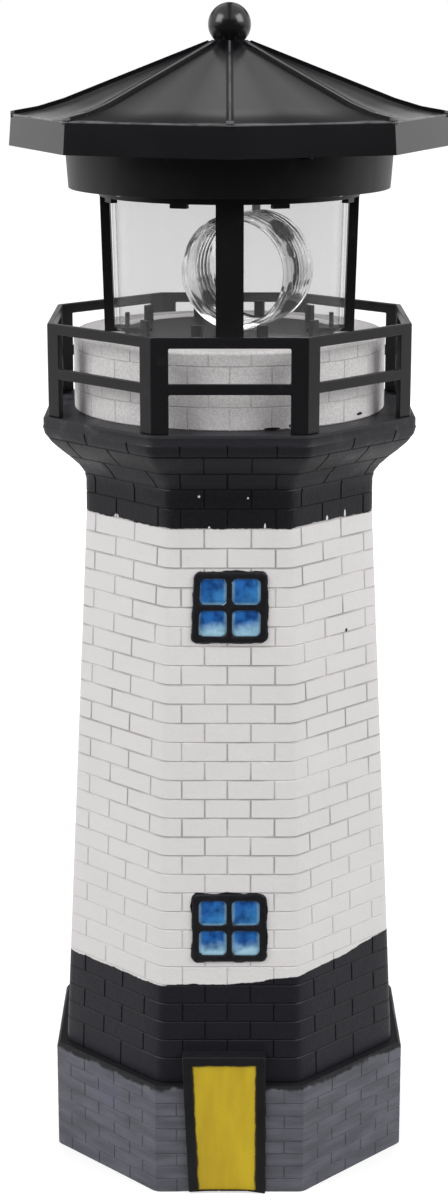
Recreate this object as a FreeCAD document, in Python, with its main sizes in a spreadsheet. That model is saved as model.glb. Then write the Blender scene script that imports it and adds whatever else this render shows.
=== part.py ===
import FreeCAD, Part
import math
import os
import re

import Sketcher
from FreeCAD import Placement, Rotation, Vector

# A lighthouse ornament that stands in a garden: a hollow cast tower, a thin gallery railing, and a
# lift-off lantern head with a turning lens under an eight-sided roof.  Millimetres, +Z up.  The origin
# is on the ground under the tower's axis, and the door looks towards -Y.

SIZES = {
    # cast tower
    "plinth_flats": 84.6,        # across the flats of the stone plinth
    "plinth_height": 27.2,
    "plinth_ease": 0.8,          # softened upper edge of the plinth
    "plinth_clip": 2.4,          # how far the plinth's lower corners are worn back
    "foot_flats": 79.2,          # across the flats of the shaft where it leaves the plinth
    "shaft_height": 132.8,
    "neck_flats": 66.3,
    "neck_height": 7.6,
    "flare_height": 13.2,
    "lip_flats": 85.6,
    "lip_height": 2.1,
    "drum_radius": 36.3,
    "drum_height": 17.6,
    "bore_radius": 25.0,         # hole in the drum that takes the lantern's plug
    "casting_wall": 5.0,
    # door and windows, raised on the front of the casting
    "door_width": 15.3,
    "door_foot_width": 13.6,
    "door_height": 33.0,
    "door_frame": 2.2,
    "door_relief": 0.9,
    "door_recess": 0.5,
    "door_offset": -1.2,
    "window_width": 17.8,
    "window_height": 16.8,
    "window_relief": 0.8,
    "pane_width": 6.6,
    "pane_height": 6.3,
    "pane_bar": 1.2,
    "pane_recess": 0.5,
    "upper_window": 142.0,       # height of each window's middle
    "lower_window": 65.7,
    # gallery railing
    "rail_flats": 83.0,
    "rail_height": 21.4,
    "rail_wall": 1.3,
    "rail_band": 2.4,            # height of the top and the middle rail
    "rail_middle": 11.2,         # top of the middle rail above the deck
    "rail_post": 3.8,            # width of a corner post on each face
    # lantern frame: plug, floor, arms and pillars in one moulding
    "plug_gap": 0.4,
    "plug_depth": 22.4,
    "plug_wall": 1.6,
    "arm_thickness": 0.8,
    "arm_inner": 18.0,
    "pillar_width": 6.2,
    "pillar_thickness": 2.2,
    "lantern_height": 31.4,      # from the drum to the ceiling lip
    "peg_radius": 0.7,           # peg on each pillar that locates the ceiling plate
    "peg_height": 1.2,
    "tab_width": 2.4,
    "tab_height": 4.0,
    "tab_thickness": 1.0,
    # clear cylinder
    "glass_foot_radius": 26.6,
    "glass_head_radius": 27.4,
    "glass_wall": 0.8,
    "glass_gap": 0.3,
    # ceiling plate
    "lip_overlap": 0.3,          # lip beyond the pillars' outer faces
    "lip_depth": 2.4,
    "lip_inner_wall": 1.3,       # lip inside its groove
    "groove_depth": 1.2,
    "ceiling_thickness": 1.8,
    "lug_depth": 1.0,
    "lug_width": 4.0,
    "lug_thickness": 1.6,
    # ring housing and soffit
    "skirt_land": 7.0,           # from the lip out to the foot of the skirt, room for the screws
    "skirt_flare": 0.7,
    "skirt_lap": 0.6,            # how far the skirt hangs below the ceiling plate
    "skirt_wall": 1.6,
    "soffit_height": 9.1,        # soffit underside above the ceiling plate's underside
    "soffit_thickness": 1.6,
    "soffit_opening": 25.0,
    # roof
    "eave_overhang": 12.9,       # corners at the foot of the fascia beyond the head of the skirt
    "fascia_draft": 0.6,         # how far the fascia leans in by its top
    "fascia_height": 7.1,
    "fascia_drop": 0.4,          # how far the fascia hangs below the soffit
    "roof_rise": 16.3,           # from the top of the fascia to the apex
    "apex_radius": 3.6,
    "sweep_run": 12.2,           # width of the swept eaves, from the fascia in to the straight slope
    "sweep_rise": 2.9,
    "sweep_mid_run": 6.2,
    "sweep_mid_rise": 1.1,
    "roof_wall": 1.8,
    "hip_rib_width": 1.6,
    "hip_rib_height": 0.7,
    "roof_boss_sink": 0.3,       # top of the screw bosses below the top of the fascia
    # finial
    "ball_radius": 4.9,
    "finial_height": 8.6,        # from the apex to the top of the ball
    "spigot_radius": 1.8,
    "spigot_length": 4.0,
    # turning lens
    "spindle_x": 6.2,
    "spindle_radius": 1.0,
    "bearing_gap": 0.06,
    "barrel_radius": 13.2,
    "barrel_length": 16.2,
    "barrel_wall": 1.0,
    "barrel_lead": 5.1,          # the barrel's middle lies this far ahead of the spindle
    "barrel_turn": -22.8,        # rest heading of the barrel about the spindle
    "barrel_clearance": 1.4,     # between the barrel and the lantern floor
    "prism_pitch": 2.0,
    "prism_depth": 0.55,
    "barrel_boss_radius": 2.0,
    "barrel_boss_height": 1.4,
    # gears
    "gear_module": 0.6,
    "gear_width": 2.0,
    "gear_lift": 0.8,            # bearing boss that the lower gears run on
    "gear_gap": 0.4,             # between the two layers of gears
    "gear_backlash": 0.14,
    "gear_clearance": 0.12,      # added to each centre distance
    "idler_angle": 130.0,        # direction of the idler from the spindle
    "motor_angle": 205.0,        # direction of the motor from the idler
    "idler_pin_radius": 0.75,
    "motor_radius": 8.0,
    "motor_height": 7.6,
    "motor_shaft_radius": 0.75,
    "gear_plate_radius": 26.2,
    "gear_plate_thickness": 1.2,
    "gear_post_radius": 1.9,
    "gear_post_circle": 22.0,
    # solar cell
    "cell_thickness": 1.8,
    "cell_headroom": 0.35,       # between the cell's corners and the underside of the roof
    "frame_thickness": 1.2,
    "frame_wall": 1.6,
    "frame_height": 7.2,
    # base cover, battery, switch
    "cover_gap": 0.2,
    "cover_thickness": 1.6,
    "battery_radius": 7.1,
    "battery_length": 28.7,
    "battery_y": -4.0,
    "battery_lift": 0.5,
    "battery_nub": 0.9,
    "contact_thickness": 0.4,
    "contact_size": 10.0,
    "cradle_wall": 1.2,
    "cradle_height": 7.0,
    "door_panel_length": 28.8,
    "door_panel_width": 17.4,
    "door_panel_gap": 0.3,
    "hook_length": 1.6,
    "hook_width": 4.0,
    "hook_thickness": 0.8,
    "bead_width": 8.0,           # snap bead on the free edge of the battery door
    "bead_depth": 0.25,
    "board_length": 28.0,
    "board_width": 22.0,
    "board_thickness": 1.2,
    "board_drop": 2.4,           # board top below the floor's underside
    "board_y": 2.4,
    "chip_length": 5.0,
    "chip_width": 4.0,
    "chip_height": 1.4,
    "coil_radius": 1.6,
    "stake_inset": 2.6,          # from the board's edges to the middle of each stake
    "stake_radius": 0.7,
    "stake_shoulder": 1.5,
    "stake_length": 1.8,
    "led_radius": 1.5,
    "led_rise": 0.7,             # LED dome above the lantern floor
    "switch_y": 12.6,
    "switch_length": 8.6,
    "switch_width": 3.8,
    "switch_height": 3.4,
    "knob_length": 2.0,
    "knob_width": 1.4,
    "knob_drop": 1.4,
    "knob_travel": 2.0,
    "screw_radius": 1.0,
    "screw_head_radius": 1.8,
    "screw_head_height": 1.0,
    "screw_grip": 5.0,
    "screw_gap": 0.1,
    "boss_radius": 2.4,
    "cover_screw_circle": 20.2,
    "wire_radius": 0.6,
    "wire_y": 21.2,
    "wire_bend": 1.8,
}

SIDES = 8
TOOTH_COUNT = {"pinion_teeth": 10, "wheel_teeth": 32, "idler_teeth": 10, "drive_teeth": 34}
PRESSURE_ANGLE = math.radians(20.0)
PILLAR_COUNT = 4
TAB_COUNT = 10
FLARE_STEPS = 6
COVER_SCREW_ANGLES = (34, 146, 270)
GEAR_POST_ANGLES = (57, 229, 330)
CEILING_SCREW_ANGLES = (45, 135, 225, 315)
ROOF_SCREW_ANGLES = (22.5, 112.5, 202.5, 292.5)

# heights above the ground, worked out from the stack of pieces
NECK_FOOT = "plinth_height + shaft_height"
FLARE_FOOT = f"{NECK_FOOT} + neck_height"
LIP_FOOT = f"{FLARE_FOOT} + flare_height"
DECK = f"{LIP_FOOT} + lip_height"
DRUM_TOP = f"{DECK} + drum_height"
LIP_UNDER = f"{DRUM_TOP} + lantern_height"
CEILING_UNDER = f"{LIP_UNDER} + lip_depth"
CEILING_TOP = f"{CEILING_UNDER} + ceiling_thickness"
SOFFIT_UNDER = f"{CEILING_UNDER} + soffit_height"
SOFFIT_TOP = f"{SOFFIT_UNDER} + soffit_thickness"
FASCIA_FOOT = f"{SOFFIT_UNDER} - fascia_drop"
EAVE = f"{FASCIA_FOOT} + fascia_height"
APEX = f"{EAVE} + roof_rise"
TOP = f"{APEX} + finial_height"
PLUG_RADIUS = "bore_radius - plug_gap"
PLUG_INNER = f"{PLUG_RADIUS} - plug_wall"
PLUG_FOOT = f"{DRUM_TOP} - plug_depth"
FLOOR_UNDER = f"{DRUM_TOP} - plug_wall"
COVER_TOP = f"{PLUG_FOOT} + cover_thickness"
BOARD_TOP = f"{FLOOR_UNDER} - board_drop"
BATTERY_AXIS = f"{COVER_TOP} + battery_lift + battery_radius"
BARREL_AXIS = f"{DRUM_TOP} + barrel_clearance + barrel_radius"
GEAR_FOOT = f"{CEILING_TOP} + gear_lift"
UPPER_GEAR_FOOT = f"{GEAR_FOOT} + gear_width + gear_gap"
GEAR_PLATE_FOOT = f"{UPPER_GEAR_FOOT} + gear_width + gear_gap"
GEAR_PLATE_TOP = f"{GEAR_PLATE_FOOT} + gear_plate_thickness"
PILLAR_INNER_FOOT = "glass_foot_radius + glass_gap"
PILLAR_INNER_HEAD = "glass_head_radius + glass_gap"
PEG_CIRCLE = f"{PILLAR_INNER_HEAD} + pillar_thickness / 2"
LIP_RADIUS = f"({PILLAR_INNER_HEAD} + pillar_thickness + lip_overlap)"
SKIRT_FOOT = f"({LIP_RADIUS} + skirt_land)"
SKIRT_HEAD = f"({SKIRT_FOOT} + skirt_flare)"
EAVE_RADIUS = f"({SKIRT_HEAD} + eave_overhang)"
CEILING_SCREW_CIRCLE = f"({LIP_RADIUS} + {SKIRT_FOOT} - skirt_wall) / 2"
ROOF_SCREW_CIRCLE = f"({SKIRT_HEAD} + ({EAVE_RADIUS} - roof_wall) * cos(180 / 8)) / 2"

doc = FreeCAD.newDocument("lighthouse")
sheet = doc.addObject("Spreadsheet::Sheet", "sizes")
parts = []


def fill_sheet():
    """Write every driving size into the sheet, one row each, under its own name."""
    for row, (name, number) in enumerate(SIZES.items(), start=1):
        sheet.set(f"A{row}", name)
        sheet.set(f"B{row}", str(number))
        sheet.setAlias(f"B{row}", name)
    doc.recompute()


def bound(text):
    """The same expression with every size name pointing into the sheet."""
    return re.sub(r"[a-z_]{3,}", lambda word: f"sizes.{word.group(0)}" if word.group(0) in SIZES
                  else word.group(0), str(text))


def value(text):
    """The number that an expression on the sheet gives now."""
    return float(sheet.evalExpression(str(text)))


def minus(text):
    return f"-({text})"


def place(thing, x="0", y="0", z="0", axis=(0, 0, 1), angle="0"):
    """Put an object at a place that follows the sheet."""
    thing.Placement = Placement(Vector(value(x), value(y), value(z)),
                                Rotation(Vector(*axis), value(angle)))
    for name, text in (("x", x), ("y", y), ("z", z)):
        thing.setExpression(f"Placement.Base.{name}", bound(text))
    if angle != "0":
        thing.setExpression("Placement.Rotation.Angle", bound(angle))
    return thing


def keep(thing, label):
    """Name a finished piece and put it on the list of pieces."""
    thing.Label = label
    parts.append(thing)
    return thing


# ---------------------------------------------------------------- sketches and bodies
def body_named(label):
    return doc.addObject("PartDesign::Body", label)


def origin_plane(body, role):
    return next(item for item in body.Origin.OriginFeatures if item.Role == role)


def new_sketch(body, name, plane, lift="0", turn="0", turn_axis=(0, 0, 1), up="0"):
    """A sketch parallel to an origin plane, lifted along its normal and turned in it."""
    sketch = body.newObject("Sketcher::SketchObject", name)
    sketch.AttachmentSupport = [(origin_plane(body, plane), "")]
    sketch.MapMode = "FlatFace"
    sketch.AttachmentOffset = Placement(Vector(0, value(up), value(lift)),
                                        Rotation(Vector(*turn_axis), value(turn)))
    sketch.setExpression("AttachmentOffset.Base.z", bound(lift))
    sketch.setExpression("AttachmentOffset.Base.y", bound(up))
    if turn != "0":
        sketch.setExpression("AttachmentOffset.Rotation.Angle", bound(turn))
    return sketch


def tie(sketch, direction, line, spot, text):
    """Hold a point of the sketch at a distance from the sketch's origin."""
    number = value(text)
    if abs(number) < 1e-9:
        axis = -2 if direction == "DistanceX" else -1
        sketch.addConstraint(Sketcher.Constraint("PointOnObject", line, spot, axis))
        return
    if number > 0:
        constraint = Sketcher.Constraint(direction, -1, 1, line, spot, number)
        text = bound(text)
    else:
        constraint = Sketcher.Constraint(direction, line, spot, -1, 1, -number)
        text = bound(minus(text))
    index = sketch.addConstraint(constraint)
    sketch.setExpression(f"Constraints[{index}]", text)


def polygon(sketch, points):
    """A closed outline of straight lines; each point is a pair of expressions."""
    spots = [Vector(value(x), value(y), 0) for x, y in points]
    first = sketch.GeometryCount
    for start, end in zip(spots, spots[1:] + spots[:1]):
        sketch.addGeometry(Part.LineSegment(start, end))
    count = len(points)
    for index, (x, y) in enumerate(points):
        line = first + index
        sketch.addConstraint(Sketcher.Constraint("Coincident", line, 2, first + (index + 1) % count, 1))
        tie(sketch, "DistanceX", line, 1, x)
        tie(sketch, "DistanceY", line, 1, y)


def circle(sketch, x, y, radius):
    line = sketch.addGeometry(Part.Circle(Vector(value(x), value(y), 0), Vector(0, 0, 1), value(radius)))
    tie(sketch, "DistanceX", line, 3, x)
    tie(sketch, "DistanceY", line, 3, y)
    index = sketch.addConstraint(Sketcher.Constraint("Radius", line, value(radius)))
    sketch.setExpression(f"Constraints[{index}]", bound(radius))


def rectangle(sketch, left, right, low, high):
    polygon(sketch, [(left, low), (right, low), (right, high), (left, high)])


def octagon_points(corner_radius, first_angle):
    """Corners of a regular octagon, the first at an angle from +X."""
    corners = []
    for index in range(SIDES):
        angle = math.radians(first_angle + index * 360.0 / SIDES)
        corners.append(tuple(f"{factor:.9f} * ({corner_radius})" if abs(factor) > 1e-9 else "0"
                             for factor in (math.cos(angle), math.sin(angle))))
    return corners


def corner_radius(flats):
    return f"({flats}) / (2 * cos(180 / {SIDES}))"


def flat_front(body, name, height, flats):
    """Octagon with a flat side towards the door."""
    sketch = new_sketch(body, name, "XY_Plane", height)
    polygon(sketch, octagon_points(corner_radius(flats), 180.0 / SIDES))
    return sketch


def corner_front(body, name, height, radius):
    """Octagon with a corner towards the door."""
    sketch = new_sketch(body, name, "XY_Plane", height)
    polygon(sketch, octagon_points(radius, 0.0))
    return sketch


def loft(body, name, sections, cut=False):
    feature = body.newObject("PartDesign::SubtractiveLoft" if cut else "PartDesign::AdditiveLoft", name)
    feature.Profile = sections[0]
    feature.Sections = sections[1:]
    feature.Ruled = True
    return feature


def pad(body, name, sketch, length, down=False, both=False):
    feature = body.newObject("PartDesign::Pad", name)
    feature.Profile = sketch
    feature.setExpression("Length", bound(length))
    feature.Length = value(length)
    feature.Reversed = down
    if both:
        feature.SideType = "Symmetric"
    return feature


def pocket(body, name, sketch, length, up=False):
    feature = body.newObject("PartDesign::Pocket", name)
    feature.Profile = sketch
    feature.setExpression("Length", bound(length))
    feature.Length = value(length)
    feature.Reversed = up
    return feature


def turned(body, name, sketch, cut=False, angle=360.0, middle=False):
    feature = body.newObject("PartDesign::Groove" if cut else "PartDesign::Revolution", name)
    feature.Profile = sketch
    feature.ReferenceAxis = (sketch, ["V_Axis"])
    feature.Angle = angle
    feature.Midplane = middle
    return feature


def around(body, name, features, count):
    """Repeat features evenly about the vertical axis."""
    pattern = body.newObject("PartDesign::PolarPattern", name)
    pattern.Originals = features
    pattern.Axis = (origin_plane(body, "Z_Axis"), [""])
    pattern.Angle = 360.0
    pattern.Occurrences = count
    body.Tip = pattern
    return pattern


def revolved_body(label, points):
    """A piece turned about its own vertical axis from a half outline of (radius, height) points."""
    body = body_named(label)
    sketch = new_sketch(body, f"{label}_outline", "XZ_Plane")
    polygon(sketch, points)
    turned(body, f"{label}_turning", sketch)
    return body


# ---------------------------------------------------------------- primitives and booleans
def cylinder(name, radius, height, x="0", y="0", z="0", axis=(0, 0, 1), angle="0"):
    solid = doc.addObject("Part::Cylinder", name)
    solid.setExpression("Radius", bound(radius))
    solid.setExpression("Height", bound(height))
    return place(solid, x, y, z, axis, angle)


def block(name, length, width, height, x, y, z):
    """A box by its middle in X and Y and its foot in Z."""
    solid = doc.addObject("Part::Box", name)
    solid.setExpression("Length", bound(length))
    solid.setExpression("Width", bound(width))
    solid.setExpression("Height", bound(height))
    return place(solid, f"({x}) - ({length}) / 2", f"({y}) - ({width}) / 2", z)


def sphere(name, radius, x, y, z):
    solid = doc.addObject("Part::Sphere", name)
    solid.setExpression("Radius", bound(radius))
    return place(solid, x, y, z)


def fused(name, solids):
    whole = doc.addObject("Part::MultiFuse", name)
    whole.Shapes = solids
    whole.Refine = True
    return whole


def cut(name, base, tool):
    rest = doc.addObject("Part::Cut", name)
    rest.Base = base
    rest.Tool = tool
    rest.Refine = True
    return rest


def group(name, solids):
    several = doc.addObject("Part::Compound", name)
    several.Links = solids
    return several


def screws(label, spots, head_foot, head_down=True):
    """Round-headed screws that share one node, each a separate solid."""
    solids = []
    for index, (x, y) in enumerate(spots):
        head = cylinder(f"{label}_head_{index}", "screw_head_radius", "screw_head_height", x, y, head_foot)
        shank_foot = f"{head_foot} + screw_head_height" if head_down else f"{head_foot} - screw_grip"
        shank = cylinder(f"{label}_shank_{index}", "screw_radius", "screw_grip", x, y, shank_foot)
        solids.append(fused(f"{label}_{index}", [head, shank]))
    keep(group(f"{label}_set", solids), label)


def on_circle(radius, angles):
    """Spots on a circle about the tower's axis, at angles from +X."""
    return [(f"({radius}) * {math.cos(math.radians(angle)):.9f}",
             f"({radius}) * {math.sin(math.radians(angle)):.9f}") for angle in angles]


COVER_SCREWS = on_circle("cover_screw_circle", COVER_SCREW_ANGLES)
GEAR_POSTS = on_circle("gear_post_circle", GEAR_POST_ANGLES)
CEILING_SCREWS = on_circle(CEILING_SCREW_CIRCLE, CEILING_SCREW_ANGLES)
ROOF_SCREWS = on_circle(ROOF_SCREW_CIRCLE, ROOF_SCREW_ANGLES)
STAKE_X = "(board_length / 2 - stake_inset)"
STAKE_Y = "(board_width / 2 - stake_inset)"
BOARD_STAKES = [(f"{across}{STAKE_X}", f"board_y {along} {STAKE_Y}") for across in ("-", "")
                for along in ("-", "+")]


# ---------------------------------------------------------------- cast tower
def wall_slope():
    return "atan((foot_flats - neck_flats) / 2 / shaft_height)"


def front_of_shaft(height):
    """How far the shaft's front face stands from the axis at a height."""
    return (f"foot_flats / 2 - (foot_flats - neck_flats) / 2"
            f" * (({height}) - plinth_height) / shaft_height")


def raised_window(body, name, height):
    """A raised window frame with four sunken panes, square to the leaning wall."""
    lean = minus(wall_slope())
    frame = new_sketch(body, f"{name}_frame", "XZ_Plane", front_of_shaft(height), lean, (1, 0, 0), height)
    rectangle(frame, "-window_width / 2", "window_width / 2", "-window_height / 2", "window_height / 2")
    pad(body, f"{name}_relief", frame, "window_relief").SideType = "Two sides"
    body.Tip.setExpression("Length2", bound("window_relief"))
    panes = new_sketch(body, f"{name}_panes", "XZ_Plane", f"{front_of_shaft(height)} + window_relief",
                       lean, (1, 0, 0), height)
    near, far_x, far_y = "pane_bar / 2", "pane_bar / 2 + pane_width", "pane_bar / 2 + pane_height"
    for low, high in ((near, far_y), (minus(far_y), minus(near))):
        rectangle(panes, near, far_x, low, high)
        rectangle(panes, minus(far_x), minus(near), low, high)
    pocket(body, f"{name}_glass", panes, "pane_recess")


def raised_door(body):
    """A framed door that stands on the ground, a little proud of the plinth."""
    face = "plinth_flats / 2 + door_relief"
    half = "door_width / 2 + door_frame"
    surround = new_sketch(body, "door_surround", "XZ_Plane", face)
    rectangle(surround, f"door_offset - ({half})", f"door_offset + {half}", "0", "door_height + door_frame")
    pad(body, "door_block", surround, "door_relief + (plinth_flats - neck_flats) / 2", down=True)
    leaf = new_sketch(body, "door_leaf", "XZ_Plane", face)
    polygon(leaf, [("door_offset - door_foot_width / 2", "door_relief"),
                   ("door_offset + door_foot_width / 2", "door_relief"),
                   ("door_offset + door_width / 2", "door_height"),
                   ("door_offset - door_width / 2", "door_height")])
    pocket(body, "door_panel", leaf, "door_recess")


def flare_sections(body):
    """Octagons of the cornice, which sweeps out from the neck to the deck's lip in an S curve."""
    sections = []
    for step in range(1, FLARE_STEPS + 1):
        share = step / FLARE_STEPS
        spread = (1.0 - math.cos(math.pi * share)) / 2.0
        height = f"{FLARE_FOOT} + flare_height * {share:.6f}"
        flats = f"neck_flats + (lip_flats - neck_flats) * {spread:.6f}"
        sections.append(flat_front(body, f"flare_{step}", height, flats))
    return sections


def tower_casting():
    body = body_named("tower")
    plinth = [flat_front(body, "plinth_foot", "0", "plinth_flats"),
              flat_front(body, "plinth_shoulder", "plinth_height - plinth_ease", "plinth_flats"),
              flat_front(body, "plinth_top", "plinth_height", "plinth_flats - 2 * plinth_ease")]
    loft(body, "plinth", plinth)
    worn = new_sketch(body, "worn_corners", "XZ_Plane")
    corner = corner_radius("plinth_flats")
    polygon(worn, [(f"{corner} - plinth_clip", "0"), (f"{corner} + 1", "0"),
                   (f"{corner} + 1", "plinth_clip * 2")])
    turned(body, "worn_foot", worn, cut=True)
    shaft = [flat_front(body, "shaft_foot", "plinth_height", "foot_flats"),
             flat_front(body, "neck_foot", NECK_FOOT, "neck_flats"),
             flat_front(body, "flare_foot", FLARE_FOOT, "neck_flats")]
    shaft += flare_sections(body)
    shaft.append(flat_front(body, "deck_edge", DECK, "lip_flats"))
    loft(body, "shaft", shaft)
    drum = new_sketch(body, "drum_plan", "XY_Plane", DECK)
    circle(drum, "0", "0", "drum_radius")
    pad(body, "drum", drum, "drum_height")
    raised_door(body)
    raised_window(body, "upper", "upper_window")
    raised_window(body, "lower", "lower_window")
    hollow = [flat_front(body, "hollow_foot", "0", "foot_flats - 2 * casting_wall"),
              flat_front(body, "hollow_neck", NECK_FOOT, "neck_flats - 2 * casting_wall"),
              flat_front(body, "hollow_top", FLARE_FOOT, "neck_flats - 2 * casting_wall")]
    loft(body, "hollow", hollow, cut=True)
    bore = new_sketch(body, "bore_plan", "XY_Plane", DRUM_TOP)
    circle(bore, "0", "0", "bore_radius")
    pocket(body, "bore", bore, "flare_height + lip_height + drum_height + 1")
    keep(body, "tower_casting")


# ---------------------------------------------------------------- gallery railing
def gallery_railing():
    body = body_named("railing")
    outside = flat_front(body, "railing_outside", DECK, "rail_flats")
    pad(body, "railing_wall", outside, "rail_height")
    inside = flat_front(body, "railing_inside", f"{DECK} + rail_height", "rail_flats - 2 * rail_wall")
    pocket(body, "railing_room", inside, "rail_height + 1")
    half = f"rail_flats / 2 * tan(180 / {SIDES}) - rail_post"
    gaps = new_sketch(body, "railing_gaps", "XZ_Plane", "rail_flats / 2 + 1")
    rectangle(gaps, minus(half), half, f"{DECK} + rail_middle", f"{DECK} + rail_height - rail_band")
    rectangle(gaps, minus(half), half, f"{DECK} - 1", f"{DECK} + rail_middle - rail_band")
    opening = pocket(body, "railing_opening", gaps, "rail_wall + 2")
    around(body, "railing_openings", [opening], SIDES)
    keep(body, "gallery_railing")


# ---------------------------------------------------------------- lantern frame and glass
def lantern_frame():
    """Plug, floor, four arms and four pillars: one moulding that carries the lantern."""
    body = body_named("frame")
    cup = new_sketch(body, "plug_outline", "XZ_Plane")
    polygon(cup, [("0", FLOOR_UNDER), (PLUG_INNER, FLOOR_UNDER), (PLUG_INNER, PLUG_FOOT),
                  (PLUG_RADIUS, PLUG_FOOT), (PLUG_RADIUS, DRUM_TOP), ("0", DRUM_TOP)])
    turned(body, "plug", cup)
    arm_end = "pillar_thickness + " + PILLAR_INNER_FOOT
    arm = new_sketch(body, "arm_plan", "XY_Plane", DRUM_TOP)
    rectangle(arm, "-pillar_width / 2", "pillar_width / 2", minus(arm_end), "-arm_inner")
    arm_pad = pad(body, "arm", arm, "arm_thickness")
    foot = f"{DRUM_TOP} + arm_thickness"
    side = new_sketch(body, "pillar_outline", "YZ_Plane")
    polygon(side, [(minus(PILLAR_INNER_FOOT), foot), (minus(PILLAR_INNER_HEAD), LIP_UNDER),
                   (minus(f"{PILLAR_INNER_HEAD} + pillar_thickness"), LIP_UNDER), (minus(arm_end), foot)])
    pillar_pad = pad(body, "pillar", side, "pillar_width", both=True)
    peg = new_sketch(body, "peg_plan", "XY_Plane", LIP_UNDER)
    circle(peg, "0", minus(PEG_CIRCLE), "peg_radius")
    peg_pad = pad(body, "peg", peg, "peg_height")
    around(body, "arms_and_pillars", [arm_pad, pillar_pad, peg_pad], PILLAR_COUNT)
    tab = new_sketch(body, "tab_plan", "XY_Plane", DRUM_TOP, "180 / 10")
    reach = PLUG_RADIUS + " - plug_gap / 2"
    rectangle(tab, "-tab_width / 2", "tab_width / 2", minus(reach), f"tab_thickness - ({reach})")
    tab_pad = pad(body, "tab", tab, "tab_height")
    around(body, "tabs", [tab_pad], TAB_COUNT)
    bosses = new_sketch(body, "cover_bosses", "XY_Plane", COVER_TOP)
    for x, y in COVER_SCREWS:
        circle(bosses, x, y, "boss_radius")
    pad(body, "bosses", bosses, f"{FLOOR_UNDER} - ({COVER_TOP})")
    for name, radius, length in (("shoulders", "stake_shoulder", "board_drop"),
                                 ("stakes", "stake_radius", "board_drop + stake_length")):
        stakes = new_sketch(body, f"{name}_plan", "XY_Plane", FLOOR_UNDER)
        for x, y in BOARD_STAKES:
            circle(stakes, x, y, radius)
        pad(body, name, stakes, length, down=True)
    pilots = new_sketch(body, "boss_pilots", "XY_Plane", COVER_TOP)
    for x, y in COVER_SCREWS:
        circle(pilots, x, y, "screw_radius")
    pocket(body, "pilots", pilots, "screw_grip", up=True)
    holes = new_sketch(body, "floor_holes", "XY_Plane", f"{DRUM_TOP} + arm_thickness")
    circle(holes, "spindle_x", "0", "led_radius + screw_gap")
    circle(holes, "0", "wire_y", "wire_radius + screw_gap")
    pocket(body, "floor_openings", holes, "plug_wall + arm_thickness + 0.1")
    keep(body, "lantern_frame")


def clear_cylinder():
    foot = f"{DRUM_TOP} + arm_thickness"
    head = f"{LIP_UNDER} + groove_depth - glass_gap"
    keep(revolved_body("glass", [("glass_foot_radius - glass_wall", foot), ("glass_foot_radius", foot),
                                 ("glass_head_radius", head), ("glass_head_radius - glass_wall", head)]),
         "clear_cylinder")


# ---------------------------------------------------------------- gear places
def pitch_radius(teeth):
    return f"gear_module * {TOOTH_COUNT[teeth]} / 2"


IDLER_REACH = f"({pitch_radius('drive_teeth')} + {pitch_radius('idler_teeth')} + gear_clearance)"
MOTOR_REACH = f"({pitch_radius('wheel_teeth')} + {pitch_radius('pinion_teeth')} + gear_clearance)"
IDLER_X = f"spindle_x + {IDLER_REACH} * cos(idler_angle)"
IDLER_Y = f"{IDLER_REACH} * sin(idler_angle)"
MOTOR_X = f"{IDLER_X} + {MOTOR_REACH} * cos(motor_angle)"
MOTOR_Y = f"{IDLER_Y} + {MOTOR_REACH} * sin(motor_angle)"


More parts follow.
